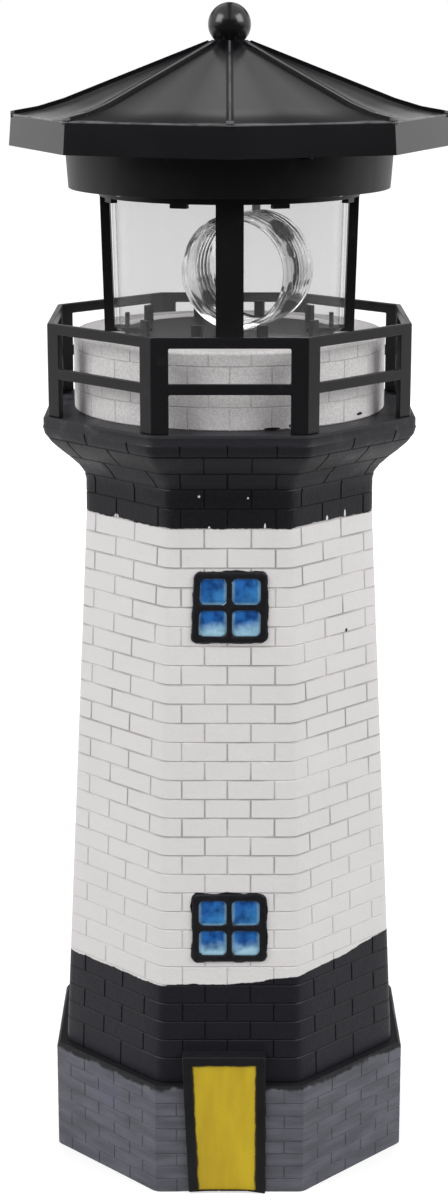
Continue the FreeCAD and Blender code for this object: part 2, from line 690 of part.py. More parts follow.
# ---------------------------------------------------------------- ceiling, ring housing, roof
def ceiling_plate():
    """Disc that closes the ring housing, with a grooved lip for the glass and the lower bearing."""
    groove_out, groove_in = "glass_head_radius + glass_gap", "glass_head_radius - glass_wall - glass_gap"
    groove_top = f"{LIP_UNDER} + groove_depth"
    lip_inner = f"{groove_in} - lip_inner_wall"
    edge = f"{SKIRT_FOOT} - skirt_wall - glass_gap"
    body = revolved_body("ceiling", [
        ("0", CEILING_UNDER), (lip_inner, CEILING_UNDER), (lip_inner, LIP_UNDER),
        (groove_in, LIP_UNDER), (groove_in, groove_top), (groove_out, groove_top), (groove_out, LIP_UNDER),
        (LIP_RADIUS, LIP_UNDER), (LIP_RADIUS, CEILING_UNDER), (edge, CEILING_UNDER),
        (edge, CEILING_TOP), ("0", CEILING_TOP)])
    lug_edge = f"{LIP_RADIUS} - lip_overlap"
    lug = new_sketch(body, "lug_plan", "XY_Plane", LIP_UNDER, "180 / 8")
    rectangle(lug, "-lug_width / 2", "lug_width / 2", minus(lug_edge), minus(f"{lug_edge} - lug_thickness"))
    around(body, "lugs", [pad(body, "lug", lug, "lug_depth", down=True)], SIDES)
    bearings = new_sketch(body, "bearing_bosses", "XY_Plane", CEILING_TOP)
    circle(bearings, "spindle_x", "0", "spindle_radius + 1.6")
    circle(bearings, IDLER_X, IDLER_Y, "idler_pin_radius + 1.2")
    pad(body, "bearing_boss", bearings, "gear_lift - bearing_gap")
    posts = new_sketch(body, "gear_posts", "XY_Plane", CEILING_TOP)
    for x, y in GEAR_POSTS:
        circle(posts, x, y, "gear_post_radius")
    pad(body, "gear_post", posts, f"{GEAR_PLATE_FOOT} - ({CEILING_TOP})")
    holes = new_sketch(body, "ceiling_holes", "XY_Plane", GEAR_FOOT)
    circle(holes, "spindle_x", "0", "spindle_radius + bearing_gap")
    circle(holes, IDLER_X, IDLER_Y, "idler_pin_radius")
    circle(holes, "0", "wire_y", "wire_radius + screw_gap")
    for x, y in CEILING_SCREWS:
        circle(holes, x, y, "screw_radius + screw_gap")
    pocket(body, "ceiling_bores", holes, "gear_lift + ceiling_thickness + 1")
    pegs = new_sketch(body, "peg_holes", "XY_Plane", LIP_UNDER)
    for x, y in on_circle(PEG_CIRCLE, (0, 90, 180, 270)):
        circle(pegs, x, y, "peg_radius")
    pocket(body, "peg_hole", pegs, "peg_height + glass_gap", up=True)
    pilots = new_sketch(body, "post_pilots", "XY_Plane", GEAR_PLATE_FOOT)
    for x, y in GEAR_POSTS:
        circle(pilots, x, y, "screw_radius")
    pocket(body, "post_pilot", pilots, "screw_grip - gear_plate_thickness + 0.2")
    keep(body, "ceiling_plate")


def ring_housing():
    """Soffit under the roof with the round skirt that hangs from it."""
    body = body_named("housing")
    soffit = corner_front(body, "soffit_plan", SOFFIT_UNDER, f"{EAVE_RADIUS} - roof_wall - 2 * glass_gap")
    pad(body, "soffit", soffit, "soffit_thickness")
    foot = f"{CEILING_UNDER} - skirt_lap"
    skirt = new_sketch(body, "skirt_outline", "XZ_Plane")
    inside = f"{SKIRT_FOOT} - skirt_wall"
    polygon(skirt, [(inside, foot), (SKIRT_FOOT, foot), (SKIRT_HEAD, SOFFIT_UNDER), (SKIRT_HEAD, SOFFIT_TOP),
                    (inside, SOFFIT_TOP)])
    turned(body, "skirt", skirt)
    opening = new_sketch(body, "soffit_hole", "XY_Plane", SOFFIT_TOP)
    circle(opening, "0", "0", "soffit_opening")
    pocket(body, "soffit_room", opening, "soffit_thickness + 1")
    bosses = new_sketch(body, "ceiling_bosses", "XY_Plane", SOFFIT_UNDER)
    for x, y in CEILING_SCREWS:
        circle(bosses, x, y, "boss_radius")
    pad(body, "ceiling_boss", bosses, f"{SOFFIT_UNDER} - ({CEILING_TOP})", down=True)
    pilots = new_sketch(body, "ceiling_pilots", "XY_Plane", CEILING_TOP)
    for x, y in CEILING_SCREWS:
        circle(pilots, x, y, "screw_radius")
    pocket(body, "ceiling_pilot", pilots, "screw_grip", up=True)
    holes = new_sketch(body, "roof_screw_holes", "XY_Plane", SOFFIT_TOP)
    for x, y in ROOF_SCREWS:
        circle(holes, x, y, "screw_radius + screw_gap")
    pocket(body, "roof_screw_hole", holes, "soffit_thickness + 1")
    keep(body, "ring_housing")


FASCIA_TOP_RADIUS = f"{EAVE_RADIUS} - fascia_draft"
ROOF_LINE = [(FASCIA_TOP_RADIUS, EAVE),
             (f"{FASCIA_TOP_RADIUS} - sweep_mid_run", f"{EAVE} + sweep_mid_rise"),
             (f"{FASCIA_TOP_RADIUS} - sweep_run", f"{EAVE} + sweep_rise"), ("apex_radius", APEX)]
APEX_UNDER = f"{APEX} - roof_wall - fascia_drop"


def roof_shell():
    """Eight-sided roof: upright fascia, swept eaves, straight slope and a rib along every hip."""
    body = body_named("roof")
    outside = [corner_front(body, "fascia_foot", FASCIA_FOOT, EAVE_RADIUS)]
    for index, (radius, height) in enumerate(ROOF_LINE):
        outside.append(corner_front(body, f"roof_level_{index}", height, radius))
    loft(body, "roof_outside", outside)
    inside = [corner_front(body, "fascia_inside", FASCIA_FOOT, f"{EAVE_RADIUS} - roof_wall")]
    for index, (radius, height) in enumerate(ROOF_LINE[:-1]):
        inside.append(corner_front(body, f"inside_level_{index}", f"{height} - roof_wall",
                                   f"{radius} - roof_wall"))
    inside.append(corner_front(body, "inside_apex", APEX_UNDER, "apex_radius"))
    loft(body, "roof_inside", inside, cut=True)
    rib = new_sketch(body, "rib_outline", "XZ_Plane")
    top = [(radius, f"{height} + hip_rib_height") for radius, height in ROOF_LINE]
    below = [(radius, f"{height} - hip_rib_height") for radius, height in reversed(ROOF_LINE)]
    polygon(rib, top + below)
    around(body, "hip_ribs", [pad(body, "hip_rib", rib, "hip_rib_width", both=True)], SIDES)
    bosses = new_sketch(body, "roof_bosses", "XY_Plane", SOFFIT_TOP)
    for x, y in ROOF_SCREWS:
        circle(bosses, x, y, "boss_radius")
    pad(body, "roof_boss", bosses, f"{EAVE} - roof_boss_sink - ({SOFFIT_TOP})")
    pilots = new_sketch(body, "roof_pilots", "XY_Plane", SOFFIT_TOP)
    for x, y in ROOF_SCREWS:
        circle(pilots, x, y, "screw_radius")
    pocket(body, "roof_pilot", pilots, "screw_grip - soffit_thickness", up=True)
    seat = new_sketch(body, "finial_seat", "XY_Plane", f"{APEX} + 2 * hip_rib_height")
    circle(seat, "0", "0", "ball_radius")
    pocket(body, "finial_flat", seat, "2 * hip_rib_height")
    socket = new_sketch(body, "finial_socket", "XY_Plane", APEX)
    circle(socket, "0", "0", "spigot_radius")
    pocket(body, "finial_hole", socket, "spigot_length")
    keep(body, "roof_shell")


def finial():
    """Ball with a flat foot that stands on the apex, held by a spigot in the roof."""
    ball = sphere("ball", "ball_radius", "0", "0", f"{TOP} - ball_radius")
    ball.setExpression("Angle1", bound("-asin((finial_height - ball_radius) / ball_radius)"))
    spigot = cylinder("spigot", "spigot_radius", "spigot_length", z=f"{APEX} - spigot_length")
    keep(fused("finial_whole", [ball, spigot]), "finial")


# ---------------------------------------------------------------- solar cell
def solar_cell():
    """Square cell on a round frame, as large as the slope of the roof above its corners allows."""
    foot = f"{SOFFIT_TOP} + frame_height"
    inside = "soffit_opening + frame_wall / 2"
    outside = f"{inside} + frame_wall"
    plate_under = f"{foot} - frame_thickness"
    keep(revolved_body("carrier", [("0", plate_under), (inside, plate_under), (inside, SOFFIT_TOP),
                                   (outside, SOFFIT_TOP), (outside, foot), ("0", foot)]), "cell_frame")
    sweep_inside, sweep_under = f"({ROOF_LINE[2][0]} - roof_wall)", f"({EAVE} + sweep_rise - roof_wall)"
    run_per_rise = f"({sweep_inside} - apex_radius) / ({APEX_UNDER} - {sweep_under})"
    corner = f"({sweep_inside} - ({foot} + cell_thickness + cell_headroom - {sweep_under}) * {run_per_rise})"
    side = f"{corner} * sqrt(2)"
    keep(block("cell", side, side, "cell_thickness", "0", "0", foot), "solar_cell")


# ---------------------------------------------------------------- gears, motor, lens
def involute(angle):
    return math.tan(angle) - angle


def gear_solid(teeth, bore, first_angle):
    """Spur gear of a given width with involute flanks; each flank is an arc through three points."""
    module = value("gear_module")
    pitch = module * teeth / 2.0
    base = pitch * math.cos(PRESSURE_ANGLE)
    tip = pitch + 0.9 * module
    root = pitch - 1.2 * module
    half_tooth = (math.pi * module / 2.0 - value("gear_backlash")) / 2.0 / pitch

    def flank(radius, middle, side):
        start = max(radius, base)
        turn = half_tooth + involute(PRESSURE_ANGLE) - involute(math.acos(base / start))
        angle = middle + side * turn
        return Vector(radius * math.cos(angle), radius * math.sin(angle), 0)

    edges = []
    low = max(base, root)
    middle_radius = (low + tip) / 2.0
    step = 2.0 * math.pi / teeth
    for index in range(teeth):
        middle = math.radians(first_angle) + index * step
        rise = [flank(radius, middle, -1) for radius in (low, middle_radius, tip)]
        fall = [flank(radius, middle, 1) for radius in (tip, middle_radius, low)]
        foot_in, foot_out = flank(root, middle, -1), flank(root, middle, 1)
        next_foot = flank(root, middle + step, -1)
        crown = Vector(tip * math.cos(middle), tip * math.sin(middle), 0)
        gap = middle + step / 2.0
        valley = Vector(root * math.cos(gap), root * math.sin(gap), 0)
        if base > root:
            edges.append(Part.LineSegment(foot_in, rise[0]).toShape())
        edges.append(Part.Arc(*rise).toShape())
        edges.append(Part.Arc(rise[2], crown, fall[0]).toShape())
        edges.append(Part.Arc(*fall).toShape())
        if base > root:
            edges.append(Part.LineSegment(fall[2], foot_out).toShape())
        edges.append(Part.Arc(foot_out, valley, next_foot).toShape())
    face = Part.Face(Part.Wire(edges))
    width = value("gear_width")
    hole = Part.makeCylinder(value(bore), 3 * width, Vector(0, 0, -width))
    return face.extrude(Vector(0, 0, width)), hole


def gear(name, teeth, bore, first_angle, x, y, z):
    solid, hole = gear_solid(TOOTH_COUNT[teeth], bore, first_angle)
    feature = doc.addObject("Part::Feature", name)
    feature.Shape = solid.cut(hole)
    return place(feature, x, y, z)


def gear_train():
    """Motor pinion, double idler and the drive gear pressed on the spindle, in mesh at rest."""
    to_idler, to_motor = value("idler_angle"), value("motor_angle")
    half_step = {name: 180.0 / count for name, count in TOOTH_COUNT.items()}
    keep(gear("drive", "drive_teeth", "spindle_radius", to_idler, "spindle_x", "0", GEAR_FOOT), "drive_gear")
    keep(gear("pinion", "pinion_teeth", "motor_shaft_radius", to_motor + 180.0 + half_step["pinion_teeth"],
              MOTOR_X, MOTOR_Y, UPPER_GEAR_FOOT), "motor_pinion")
    small = gear("idler_small", "idler_teeth", "idler_pin_radius + bearing_gap",
                 to_idler + 180.0 + half_step["idler_teeth"], IDLER_X, IDLER_Y, GEAR_FOOT)
    large = gear("idler_large", "wheel_teeth", "idler_pin_radius + bearing_gap", to_motor,
                 IDLER_X, IDLER_Y, UPPER_GEAR_FOOT)
    web = cylinder("idler_web", "gear_module * 3.8", "gear_gap", IDLER_X, IDLER_Y,
                   f"{GEAR_FOOT} + gear_width")
    web_bore = cylinder("idler_web_bore", "idler_pin_radius + bearing_gap", "gear_gap", IDLER_X, IDLER_Y,
                        f"{GEAR_FOOT} + gear_width")
    keep(fused("idler", [small, cut("idler_collar", web, web_bore), large]), "idler_gear")
    keep(cylinder("idler_axle", "idler_pin_radius", f"{GEAR_PLATE_TOP} - ({CEILING_UNDER})",
                  IDLER_X, IDLER_Y, CEILING_UNDER), "idler_pin")


def gear_plate():
    body = body_named("gear_top")
    plan = new_sketch(body, "gear_plate_plan", "XY_Plane", GEAR_PLATE_FOOT)
    circle(plan, "0", "0", "gear_plate_radius")
    pad(body, "gear_plate_disc", plan, "gear_plate_thickness")
    holes = new_sketch(body, "gear_plate_holes", "XY_Plane", GEAR_PLATE_TOP)
    circle(holes, "spindle_x", "0", "spindle_radius + bearing_gap")
    circle(holes, IDLER_X, IDLER_Y, "idler_pin_radius")
    circle(holes, MOTOR_X, MOTOR_Y, "motor_shaft_radius + 0.4")
    circle(holes, "0", "wire_y", "wire_radius + screw_gap")
    for x, y in GEAR_POSTS:
        circle(holes, x, y, "screw_radius + screw_gap")
    pocket(body, "gear_plate_bores", holes, "gear_plate_thickness + 1")
    keep(body, "gear_plate")


def motor():
    can = cylinder("can", "motor_radius", "motor_height", MOTOR_X, MOTOR_Y, GEAR_PLATE_TOP)
    bore = cylinder("can_bore", "motor_shaft_radius + bearing_gap", "motor_height * 0.9",
                    MOTOR_X, MOTOR_Y, GEAR_PLATE_TOP)
    keep(cut("can_bored", can, bore), "motor_can")
    foot = UPPER_GEAR_FOOT
    keep(cylinder("shaft_rod", "motor_shaft_radius", f"{GEAR_PLATE_TOP} - ({foot}) + motor_height * 0.8",
                  MOTOR_X, MOTOR_Y, foot), "motor_shaft")


def spindle():
    """White axle that the lens hangs from; its collar rests on the gear plate."""
    foot = f"{BARREL_AXIS} + barrel_radius"
    rod = cylinder("rod", "spindle_radius", f"{GEAR_PLATE_TOP} - ({foot})", "spindle_x", "0", foot)
    collar = cylinder("collar", "spindle_radius + 1", "0.8", "spindle_x", "0",
                      f"{GEAR_PLATE_TOP} + bearing_gap")
    tip = cylinder("collar_neck", "spindle_radius", "bearing_gap", "spindle_x", "0", GEAR_PLATE_TOP)
    keep(fused("spindle_whole", [rod, collar, tip]), "spindle")


def lens_barrel():
    """Clear open barrel with stepped prism rings inside, hung from a boss on its top."""
    inner = "barrel_radius - barrel_wall"
    rings = int(value("barrel_length / prism_pitch"))
    start = "(barrel_length - prism_pitch * " + str(rings) + ") / 2 - barrel_length / 2"
    points = [("barrel_radius", "-barrel_length / 2"), ("barrel_radius", "barrel_length / 2"),
              (inner, "barrel_length / 2")]
    for ring in reversed(range(rings)):
        foot = f"{start} + prism_pitch * {ring}"
        points.append((inner, f"{foot} + prism_pitch"))
        points.append((f"{inner} - prism_depth", f"{foot} + prism_pitch * 0.1"))
    points.append((inner, "-barrel_length / 2"))
    points = [(x, f"{y} + barrel_lead") for x, y in points]
    body = revolved_body("barrel", drop_repeats(points))
    body.Placement = Placement(Vector(value("spindle_x"), 0, value(BARREL_AXIS)),
                               Rotation(Vector(0, 0, 1), value("barrel_turn"))
                               * Rotation(Vector(1, 0, 0), 90))
    body.setExpression("Placement.Base.x", bound("spindle_x"))
    body.setExpression("Placement.Base.z", bound(BARREL_AXIS))
    boss = cylinder("barrel_boss", "barrel_boss_radius", "barrel_boss_height + barrel_wall / 2",
                    "spindle_x", "0", f"{BARREL_AXIS} + barrel_radius - barrel_wall / 2")
    bore = cylinder("barrel_bore", "spindle_radius", "barrel_boss_height + 1", "spindle_x", "0",
                    f"{BARREL_AXIS} + barrel_radius")
    keep(cut("barrel_bored", fused("barrel_bossed", [body, boss]), bore), "lens_barrel")


def drop_repeats(points):
    """The same outline without a point that falls on the one before it."""
    kept = []
    for x, y in points:
        spot = (round(value(x), 6), round(value(y), 6))
        if not kept or kept[-1][0] != spot:
            kept.append((spot, (x, y)))
    return [pair for spot, pair in kept]


# ---------------------------------------------------------------- inside the plug
def base_cover():
    """Round cover screwed under the plug, with the battery cradle, door opening and switch slot."""
    body = body_named("cover")
    disc = new_sketch(body, "cover_plan", "XY_Plane", PLUG_FOOT)
    circle(disc, "0", "0", f"{PLUG_INNER} - cover_gap")
    pad(body, "cover_disc", disc, "cover_thickness")
    walls = new_sketch(body, "cradle_plan", "XY_Plane", COVER_TOP)
    half_length = "door_panel_length / 2 + door_panel_gap"
    contact_back = "battery_length / 2 + contact_thickness"
    for side in ("-", ""):
        inner = f"{side}({contact_back})"
        outer = f"{side}({contact_back} + cradle_wall)"
        pair = (outer, inner) if side else (inner, outer)
        rectangle(walls, *pair, "battery_y - contact_size / 2", "battery_y + contact_size / 2")
    pad(body, "cradle", walls, "cradle_height")
    doorway = new_sketch(body, "doorway_plan", "XY_Plane", COVER_TOP)
    rectangle(doorway, minus(half_length), half_length, "battery_y - door_panel_width / 2 - door_panel_gap",
              "battery_y + door_panel_width / 2 + door_panel_gap")
    pocket(body, "doorway", doorway, "cover_thickness + 1")
    slot = new_sketch(body, "slot_plan", "XY_Plane", COVER_TOP)
    reach = "(knob_length + knob_travel) / 2 + door_panel_gap"
    rectangle(slot, minus(reach), reach, "switch_y - knob_width / 2 - door_panel_gap",
              "switch_y + knob_width / 2 + door_panel_gap")
    pocket(body, "switch_slot", slot, "cover_thickness + 1")
    holes = new_sketch(body, "cover_holes", "XY_Plane", COVER_TOP)
    for x, y in COVER_SCREWS:
        circle(holes, x, y, "screw_radius + screw_gap")
    pocket(body, "cover_bores", holes, "cover_thickness + 1")
    keep(body, "base_cover")


def battery_door():
    """Flap in the cover: it tilts down about one lower edge and hooks over the cover inside."""
    edge = "battery_y - door_panel_width / 2"
    leaf = block("leaf", "door_panel_length", "door_panel_width", "cover_thickness", "0", "battery_y",
                 PLUG_FOOT)
    bead = block("bead", "bead_width", "2 * bead_depth", "cover_thickness / 2", "0",
                 "battery_y + door_panel_width / 2", PLUG_FOOT)
    pieces = [leaf, bead]
    for side in ("-", ""):
        x = f"{side}(door_panel_length / 2 - hook_width)"
        pieces.append(block(f"hook{side}", "hook_width", "2 * hook_length", "hook_thickness", x, edge,
                            f"{COVER_TOP} + door_panel_gap"))
        pieces.append(block(f"hook_stem{side}", "hook_width", "hook_length", "door_panel_gap", x,
                            f"{edge} + hook_length / 2", COVER_TOP))
    keep(fused("door_leaf_whole", pieces), "battery_door")


def battery():
    """Rechargeable cell that lies across the plug between two flat contacts."""
    end = "battery_length / 2"
    can = cylinder("cell_can", "battery_radius", "battery_length - battery_nub", minus(end), "battery_y",
                   BATTERY_AXIS, (0, 1, 0), "90")
    nub = cylinder("cell_nub", "battery_radius * 0.36", "battery_nub", f"{end} - battery_nub", "battery_y",
                   BATTERY_AXIS, (0, 1, 0), "90")
    keep(fused("cell_whole", [can, nub]), "battery")
    plates = []
    for side in ("-", ""):
        x = f"{side}(battery_length / 2 + contact_thickness / 2)"
        plates.append(block(f"contact{side}", "contact_thickness", "contact_size", "contact_size", x,
                            "battery_y", f"{BATTERY_AXIS} - contact_size / 2"))
    keep(group("contact_pair", plates), "battery_contacts")


def circuit_board():
    board_foot = f"{BOARD_TOP} - board_thickness"
    board = block("board", "board_length", "board_width", "board_thickness", "0", "board_y", board_foot)
    chip = block("chip", "chip_length", "chip_width", "chip_height", "-board_length / 6", "board_y + 1",
                 BOARD_TOP)
    coil = cylinder("coil", "coil_radius", "coil_radius", "-board_length / 6", "board_y - board_width / 4",
                    BOARD_TOP)
    holes = [cylinder(f"stake_hole_{index}", "stake_radius", "board_thickness", x, y, board_foot)
             for index, (x, y) in enumerate(BOARD_STAKES)]
    keep(cut("board_staked", fused("board_whole", [board, chip, coil]), group("stake_holes", holes)),
         "circuit_board")
    tip = f"{DRUM_TOP} + led_rise - led_radius"
    stem = cylinder("led_stem", "led_radius", f"{tip} - ({BOARD_TOP})", "spindle_x", "0", BOARD_TOP)
    keep(fused("led_whole", [stem, sphere("led_dome", "led_radius", "spindle_x", "0", tip)]), "led")


def power_switch():
    case_foot = f"{COVER_TOP} + bearing_gap"
    case = block("switch_case", "switch_length", "switch_width", "switch_height", "0", "switch_y", COVER_TOP)
    room = block("switch_room", "knob_length + knob_travel + 2 * door_panel_gap",
                 "knob_width + 2 * door_panel_gap", "1.6", "0", "switch_y", COVER_TOP)
    keep(cut("switch_hollow", case, room), "switch_body")
    keep(block("knob", "knob_length", "knob_width", f"{case_foot} + 1.2 - ({PLUG_FOOT} - knob_drop)",
               "-knob_travel / 2", "switch_y", f"{PLUG_FOOT} - knob_drop"), "switch_knob")


def lead_wire():
    """Lead from the board, up inside the glass by the rear pillar, to the solar cell's frame."""
    radius, bend = value("wire_radius"), value("wire_bend")
    low, high = value(f"{BOARD_TOP} + wire_radius"), value(f"{SOFFIT_TOP} + frame_height - frame_thickness")
    start, wall = value("board_y + board_width / 2 - 3"), value("wire_y")
    corner = bend * (1.0 - math.sqrt(0.5))
    bend_start, bend_end = Vector(0, wall - bend, low), Vector(0, wall, low + bend)
    path = Part.Wire([Part.LineSegment(Vector(0, start, low), bend_start).toShape(),
                      Part.Arc(bend_start, Vector(0, wall - corner, low + corner), bend_end).toShape(),
                      Part.LineSegment(bend_end, Vector(0, wall, high)).toShape()])
    ring = Part.Wire(Part.Circle(Vector(0, start, low), Vector(0, 1, 0), radius).toShape())
    feature = doc.addObject("Part::Feature", "lead")
    feature.Shape = path.makePipeShell([ring], True, False)
    feature.Placement = Placement()
    keep(feature, "lead_wire")


def write_parts():
    """Check every object, then write each finished piece to its own file."""
    doc.recompute()
    for thing in doc.Objects:
        if "Invalid" in thing.State or "Error" in thing.State:
            raise SystemExit(f"{thing.Name} failed: {thing.State}")
    os.makedirs("parts", exist_ok=True)
    for thing in parts:
        shape = thing.Shape
        if shape.isNull() or not shape.isValid() or not shape.Solids:
            raise SystemExit(f"{thing.Label} is not a valid solid")
        shape.exportStep(f"parts/{thing.Label}.step")
        print(f"{thing.Label}: {len(shape.Solids)} solid(s), {shape.Volume:.1f} mm3")


fill_sheet()
tower_casting()
gallery_railing()
lantern_frame()
clear_cylinder()
ceiling_plate()
ring_housing()
roof_shell()
finial()
solar_cell()
gear_train()
gear_plate()
motor()
spindle()
lens_barrel()
base_cover()
battery_door()
battery()
circuit_board()
power_switch()
lead_wire()
screws("cover_screws", COVER_SCREWS, f"{PLUG_FOOT} - screw_head_height")
screws("ceiling_screws", CEILING_SCREWS, f"{CEILING_UNDER} - screw_head_height")
screws("roof_screws", ROOF_SCREWS, f"{SOFFIT_UNDER} - screw_head_height")
screws("gear_plate_screws", GEAR_POSTS, GEAR_PLATE_TOP, head_down=False)
write_parts()
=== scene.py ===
# %% [markdown]
# A lighthouse ornament for the garden. It is really two things: a heavy hand-painted casting that stands on
# its plinth, and a light moulded lantern that drops into the top of it. The measured solids come first, and
# everything made below is fitted to them.

# %% Load the solids
import math

import bmesh
import bpy
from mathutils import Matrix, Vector


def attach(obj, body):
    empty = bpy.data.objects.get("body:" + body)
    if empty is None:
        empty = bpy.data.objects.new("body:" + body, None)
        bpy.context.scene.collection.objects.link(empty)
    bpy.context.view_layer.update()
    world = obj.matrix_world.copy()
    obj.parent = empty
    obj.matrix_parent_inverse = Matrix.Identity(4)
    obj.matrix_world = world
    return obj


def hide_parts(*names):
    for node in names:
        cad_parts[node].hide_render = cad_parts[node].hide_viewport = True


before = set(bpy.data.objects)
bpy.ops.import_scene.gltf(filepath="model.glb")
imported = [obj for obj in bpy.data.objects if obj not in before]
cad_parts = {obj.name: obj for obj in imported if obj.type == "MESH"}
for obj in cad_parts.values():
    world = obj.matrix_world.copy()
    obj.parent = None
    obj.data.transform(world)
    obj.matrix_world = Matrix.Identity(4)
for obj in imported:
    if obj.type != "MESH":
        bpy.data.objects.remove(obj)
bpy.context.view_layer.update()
MM = 0.001

# %% [markdown]
# The photograph was taken from the height of the tower's top with a fairly long lens, aimed at its middle,
# so it looks down about fourteen degrees. The frame is tall and narrow, so the sensor's long side is its
# height, and the focal length is set against that side.

# %% Camera
FOCAL_PIXELS, FRAME_HIGH = 2330.55, 1200.0
CAMERA_PLACE, LOOKING_DOWN = (-1.26, -545.79, 274.97), 14.39

camera_data = bpy.data.cameras.new("tower_view")
camera_data.sensor_width = 36.0
camera_data.lens = FOCAL_PIXELS / FRAME_HIGH * camera_data.sensor_width
camera_data.clip_start = 0.01
camera_data.clip_end = 20.0
camera = bpy.data.objects.new("tower_view", camera_data)
bpy.context.scene.collection.objects.link(camera)
camera.location = Vector(CAMERA_PLACE) * MM
camera.rotation_euler = (math.radians(90.0 - LOOKING_DOWN), 0.0, 0.0)
bpy.context.scene.camera = camera
print("lens", round(camera_data.lens, 2), "mm")

# %% [markdown]
# A small set of modelling helpers comes next. An edit-mode operator works on everything that is selected,
# so each one starts from an empty selection and then picks faces or edges by where they are. Sizes are
# written in millimetres, and a product with MM is in metres, which is what Blender works in.

# %% Hold and let go
def let_go():
    """Leave edit mode and select nothing."""
    if bpy.context.object and bpy.context.object.mode != "OBJECT":
        bpy.ops.object.mode_set(mode="OBJECT")
    bpy.ops.object.select_all(action="DESELECT")


def hold(piece):
    """Make one piece the active, selected one."""
    let_go()
    piece.select_set(True)
    bpy.context.view_layer.objects.active = piece


def name_it(name):
    """Name the piece that was just added."""
    piece = bpy.context.object
    piece.name = piece.data.name = name
    return piece


def settle(piece):
    """Put a piece's place, turn and size into its mesh."""
    hold(piece)
    bpy.ops.object.transform_apply(location=True, rotation=True, scale=True)


print("pieces can be held, named and settled")

# %% [markdown]
# Two primitives start nearly every form here. A prism stands on the tower's axis and is turned so that its
# first corner is where it is wanted, and a box is fitted between two corners. The turn and the size go into
# the mesh at once, so that every object stays at the origin.

# %% Prism and box
def prism(name, sides, radius, low, high, turn=0.0):
    """A regular prism about the tower's axis, its first corner turned from +X by an angle."""
    let_go()
    bpy.ops.mesh.primitive_cylinder_add(vertices=sides, radius=radius * MM, depth=(high - low) * MM,
                                        end_fill_type="NGON", location=(0, 0, (low + high) / 2 * MM))
    piece = name_it(name)
    first = math.atan2(piece.data.vertices[0].co.y, piece.data.vertices[0].co.x)
    piece.rotation_euler.z = math.radians(turn) - first
    settle(piece)
    return piece


def box(name, low, high):
    """A cube fitted between two corners."""
    let_go()
    middle = [(a + b) / 2 * MM for a, b in zip(low, high)]
    bpy.ops.mesh.primitive_cube_add(size=1.0, location=middle)
    piece = name_it(name)
    piece.scale = [(b - a) * MM for a, b in zip(low, high)]
    settle(piece)
    return piece


print("prism and box ready")

# %% [markdown]
# Faces and edges are picked by a test on their middle and their direction. Such a test reads like a
# sentence, and it still holds when an earlier step makes more faces, where a list of numbers wouldn't.

# %% Pick by place
def pick(piece, what, test):
    """In edit mode, select the faces, edges or vertices that pass a test on their middle, in millimetres."""
    if piece.mode != "EDIT":
        hold(piece)
        bpy.ops.object.mode_set(mode="EDIT")
    bpy.ops.mesh.select_mode(type={"faces": "FACE", "edges": "EDGE", "verts": "VERT"}[what])
    bpy.ops.mesh.select_all(action="DESELECT")
    mesh = bmesh.from_edit_mesh(piece.data)
    count = 0
    for part in getattr(mesh, what):
        if test(part, middle_of(part) / MM):
            part.select_set(True)
            count += 1
    bmesh.update_edit_mesh(piece.data)
    return count


def middle_of(part):
    """The middle of a face, edge or vertex."""
    if isinstance(part, bmesh.types.BMVert):
        return part.co.copy()
    return sum((v.co for v in part.verts), Vector()) / len(part.verts)


print("picking ready")

# %% [markdown]
# A finished piece is cleaned in the same way each time: doubles are merged, the faces turned outwards, and
# all but the sharp edges smoothed. Each piece is also told which moving body carries it.

# %% Finish and assign
def finish_mesh(piece, angle=35.0):
    """Merge doubles, turn the faces outwards and smooth all but the sharp edges."""
    hold(piece)
    bpy.ops.object.mode_set(mode="EDIT")
    bpy.ops.mesh.select_all(action="SELECT")
    bpy.ops.mesh.remove_doubles(threshold=0.002 * MM)
    bpy.ops.mesh.normals_make_consistent(inside=False)
    bpy.ops.object.mode_set(mode="OBJECT")
    bpy.ops.object.shade_smooth_by_angle(angle=math.radians(angle))
    print(piece.name, len(piece.data.polygons), "faces")


def belongs(piece, body, slot, *nodes):
    """Say which body carries a piece and which solids it stands for, and hide those; the slot is not used."""
    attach(piece, body)
    if nodes:
        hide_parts(*nodes)


print("finishing ready")

# %% [markdown]
# Materials are written as sums. A small class wraps one output of a shader node, and adding or multiplying
# two of them adds the Math node that does it. It could be done with nodes placed one by one, but a sum
# shows at a glance what a mask is made of.

# %% Sums of sockets
class Value:
    """One output socket, usable in ordinary arithmetic."""

    def __init__(self, finish, socket):
        self.finish, self.socket = finish, socket

    def maths(self, operation, *others):
        """The result of one Math node, fed with all its values in order."""
        node = self.finish.tree.nodes.new("ShaderNodeMath")
        node.operation = operation
        for place, other in enumerate(others):
            self.finish.feed(node.inputs[place], other)
        return Value(self.finish, node.outputs[0])

    def __add__(self, other):
        return self.maths("ADD", self, other)

    __radd__ = __add__

    def __mul__(self, other):
        return self.maths("MULTIPLY", self, other)

    __rmul__ = __mul__

    def __sub__(self, other):
        return self.maths("SUBTRACT", self, other)

    def __rsub__(self, other):
        return self.maths("SUBTRACT", other, self)

    def __truediv__(self, other):
        return self.maths("DIVIDE", self, other)

    def power(self, other):
        return self.maths("POWER", self, other)

    def at_least(self, other):
        return self.maths("MAXIMUM", self, other)

    def at_most(self, other):
        return self.maths("MINIMUM", self, other)

    def size(self):
        return self.maths("ABSOLUTE", self)

    def stripes(self, pitch, half):
        """1 on thin stripes, one at every multiple of the pitch."""
        turn = self / pitch + 0.5
        return ((turn.maths("FRACT", turn) - 0.5).size() * pitch).ramp(half * 1.3, half * 0.7)

    def ramp(self, start, end):
        """0 below start, 1 above end, eased between them; start may be the larger."""
        node = self.finish.node("ShaderNodeMapRange", {"interpolation_type": "SMOOTHSTEP"},
                                {"Value": self, "From Min": start, "From Max": end})
        return self.finish.out(node, "Result")


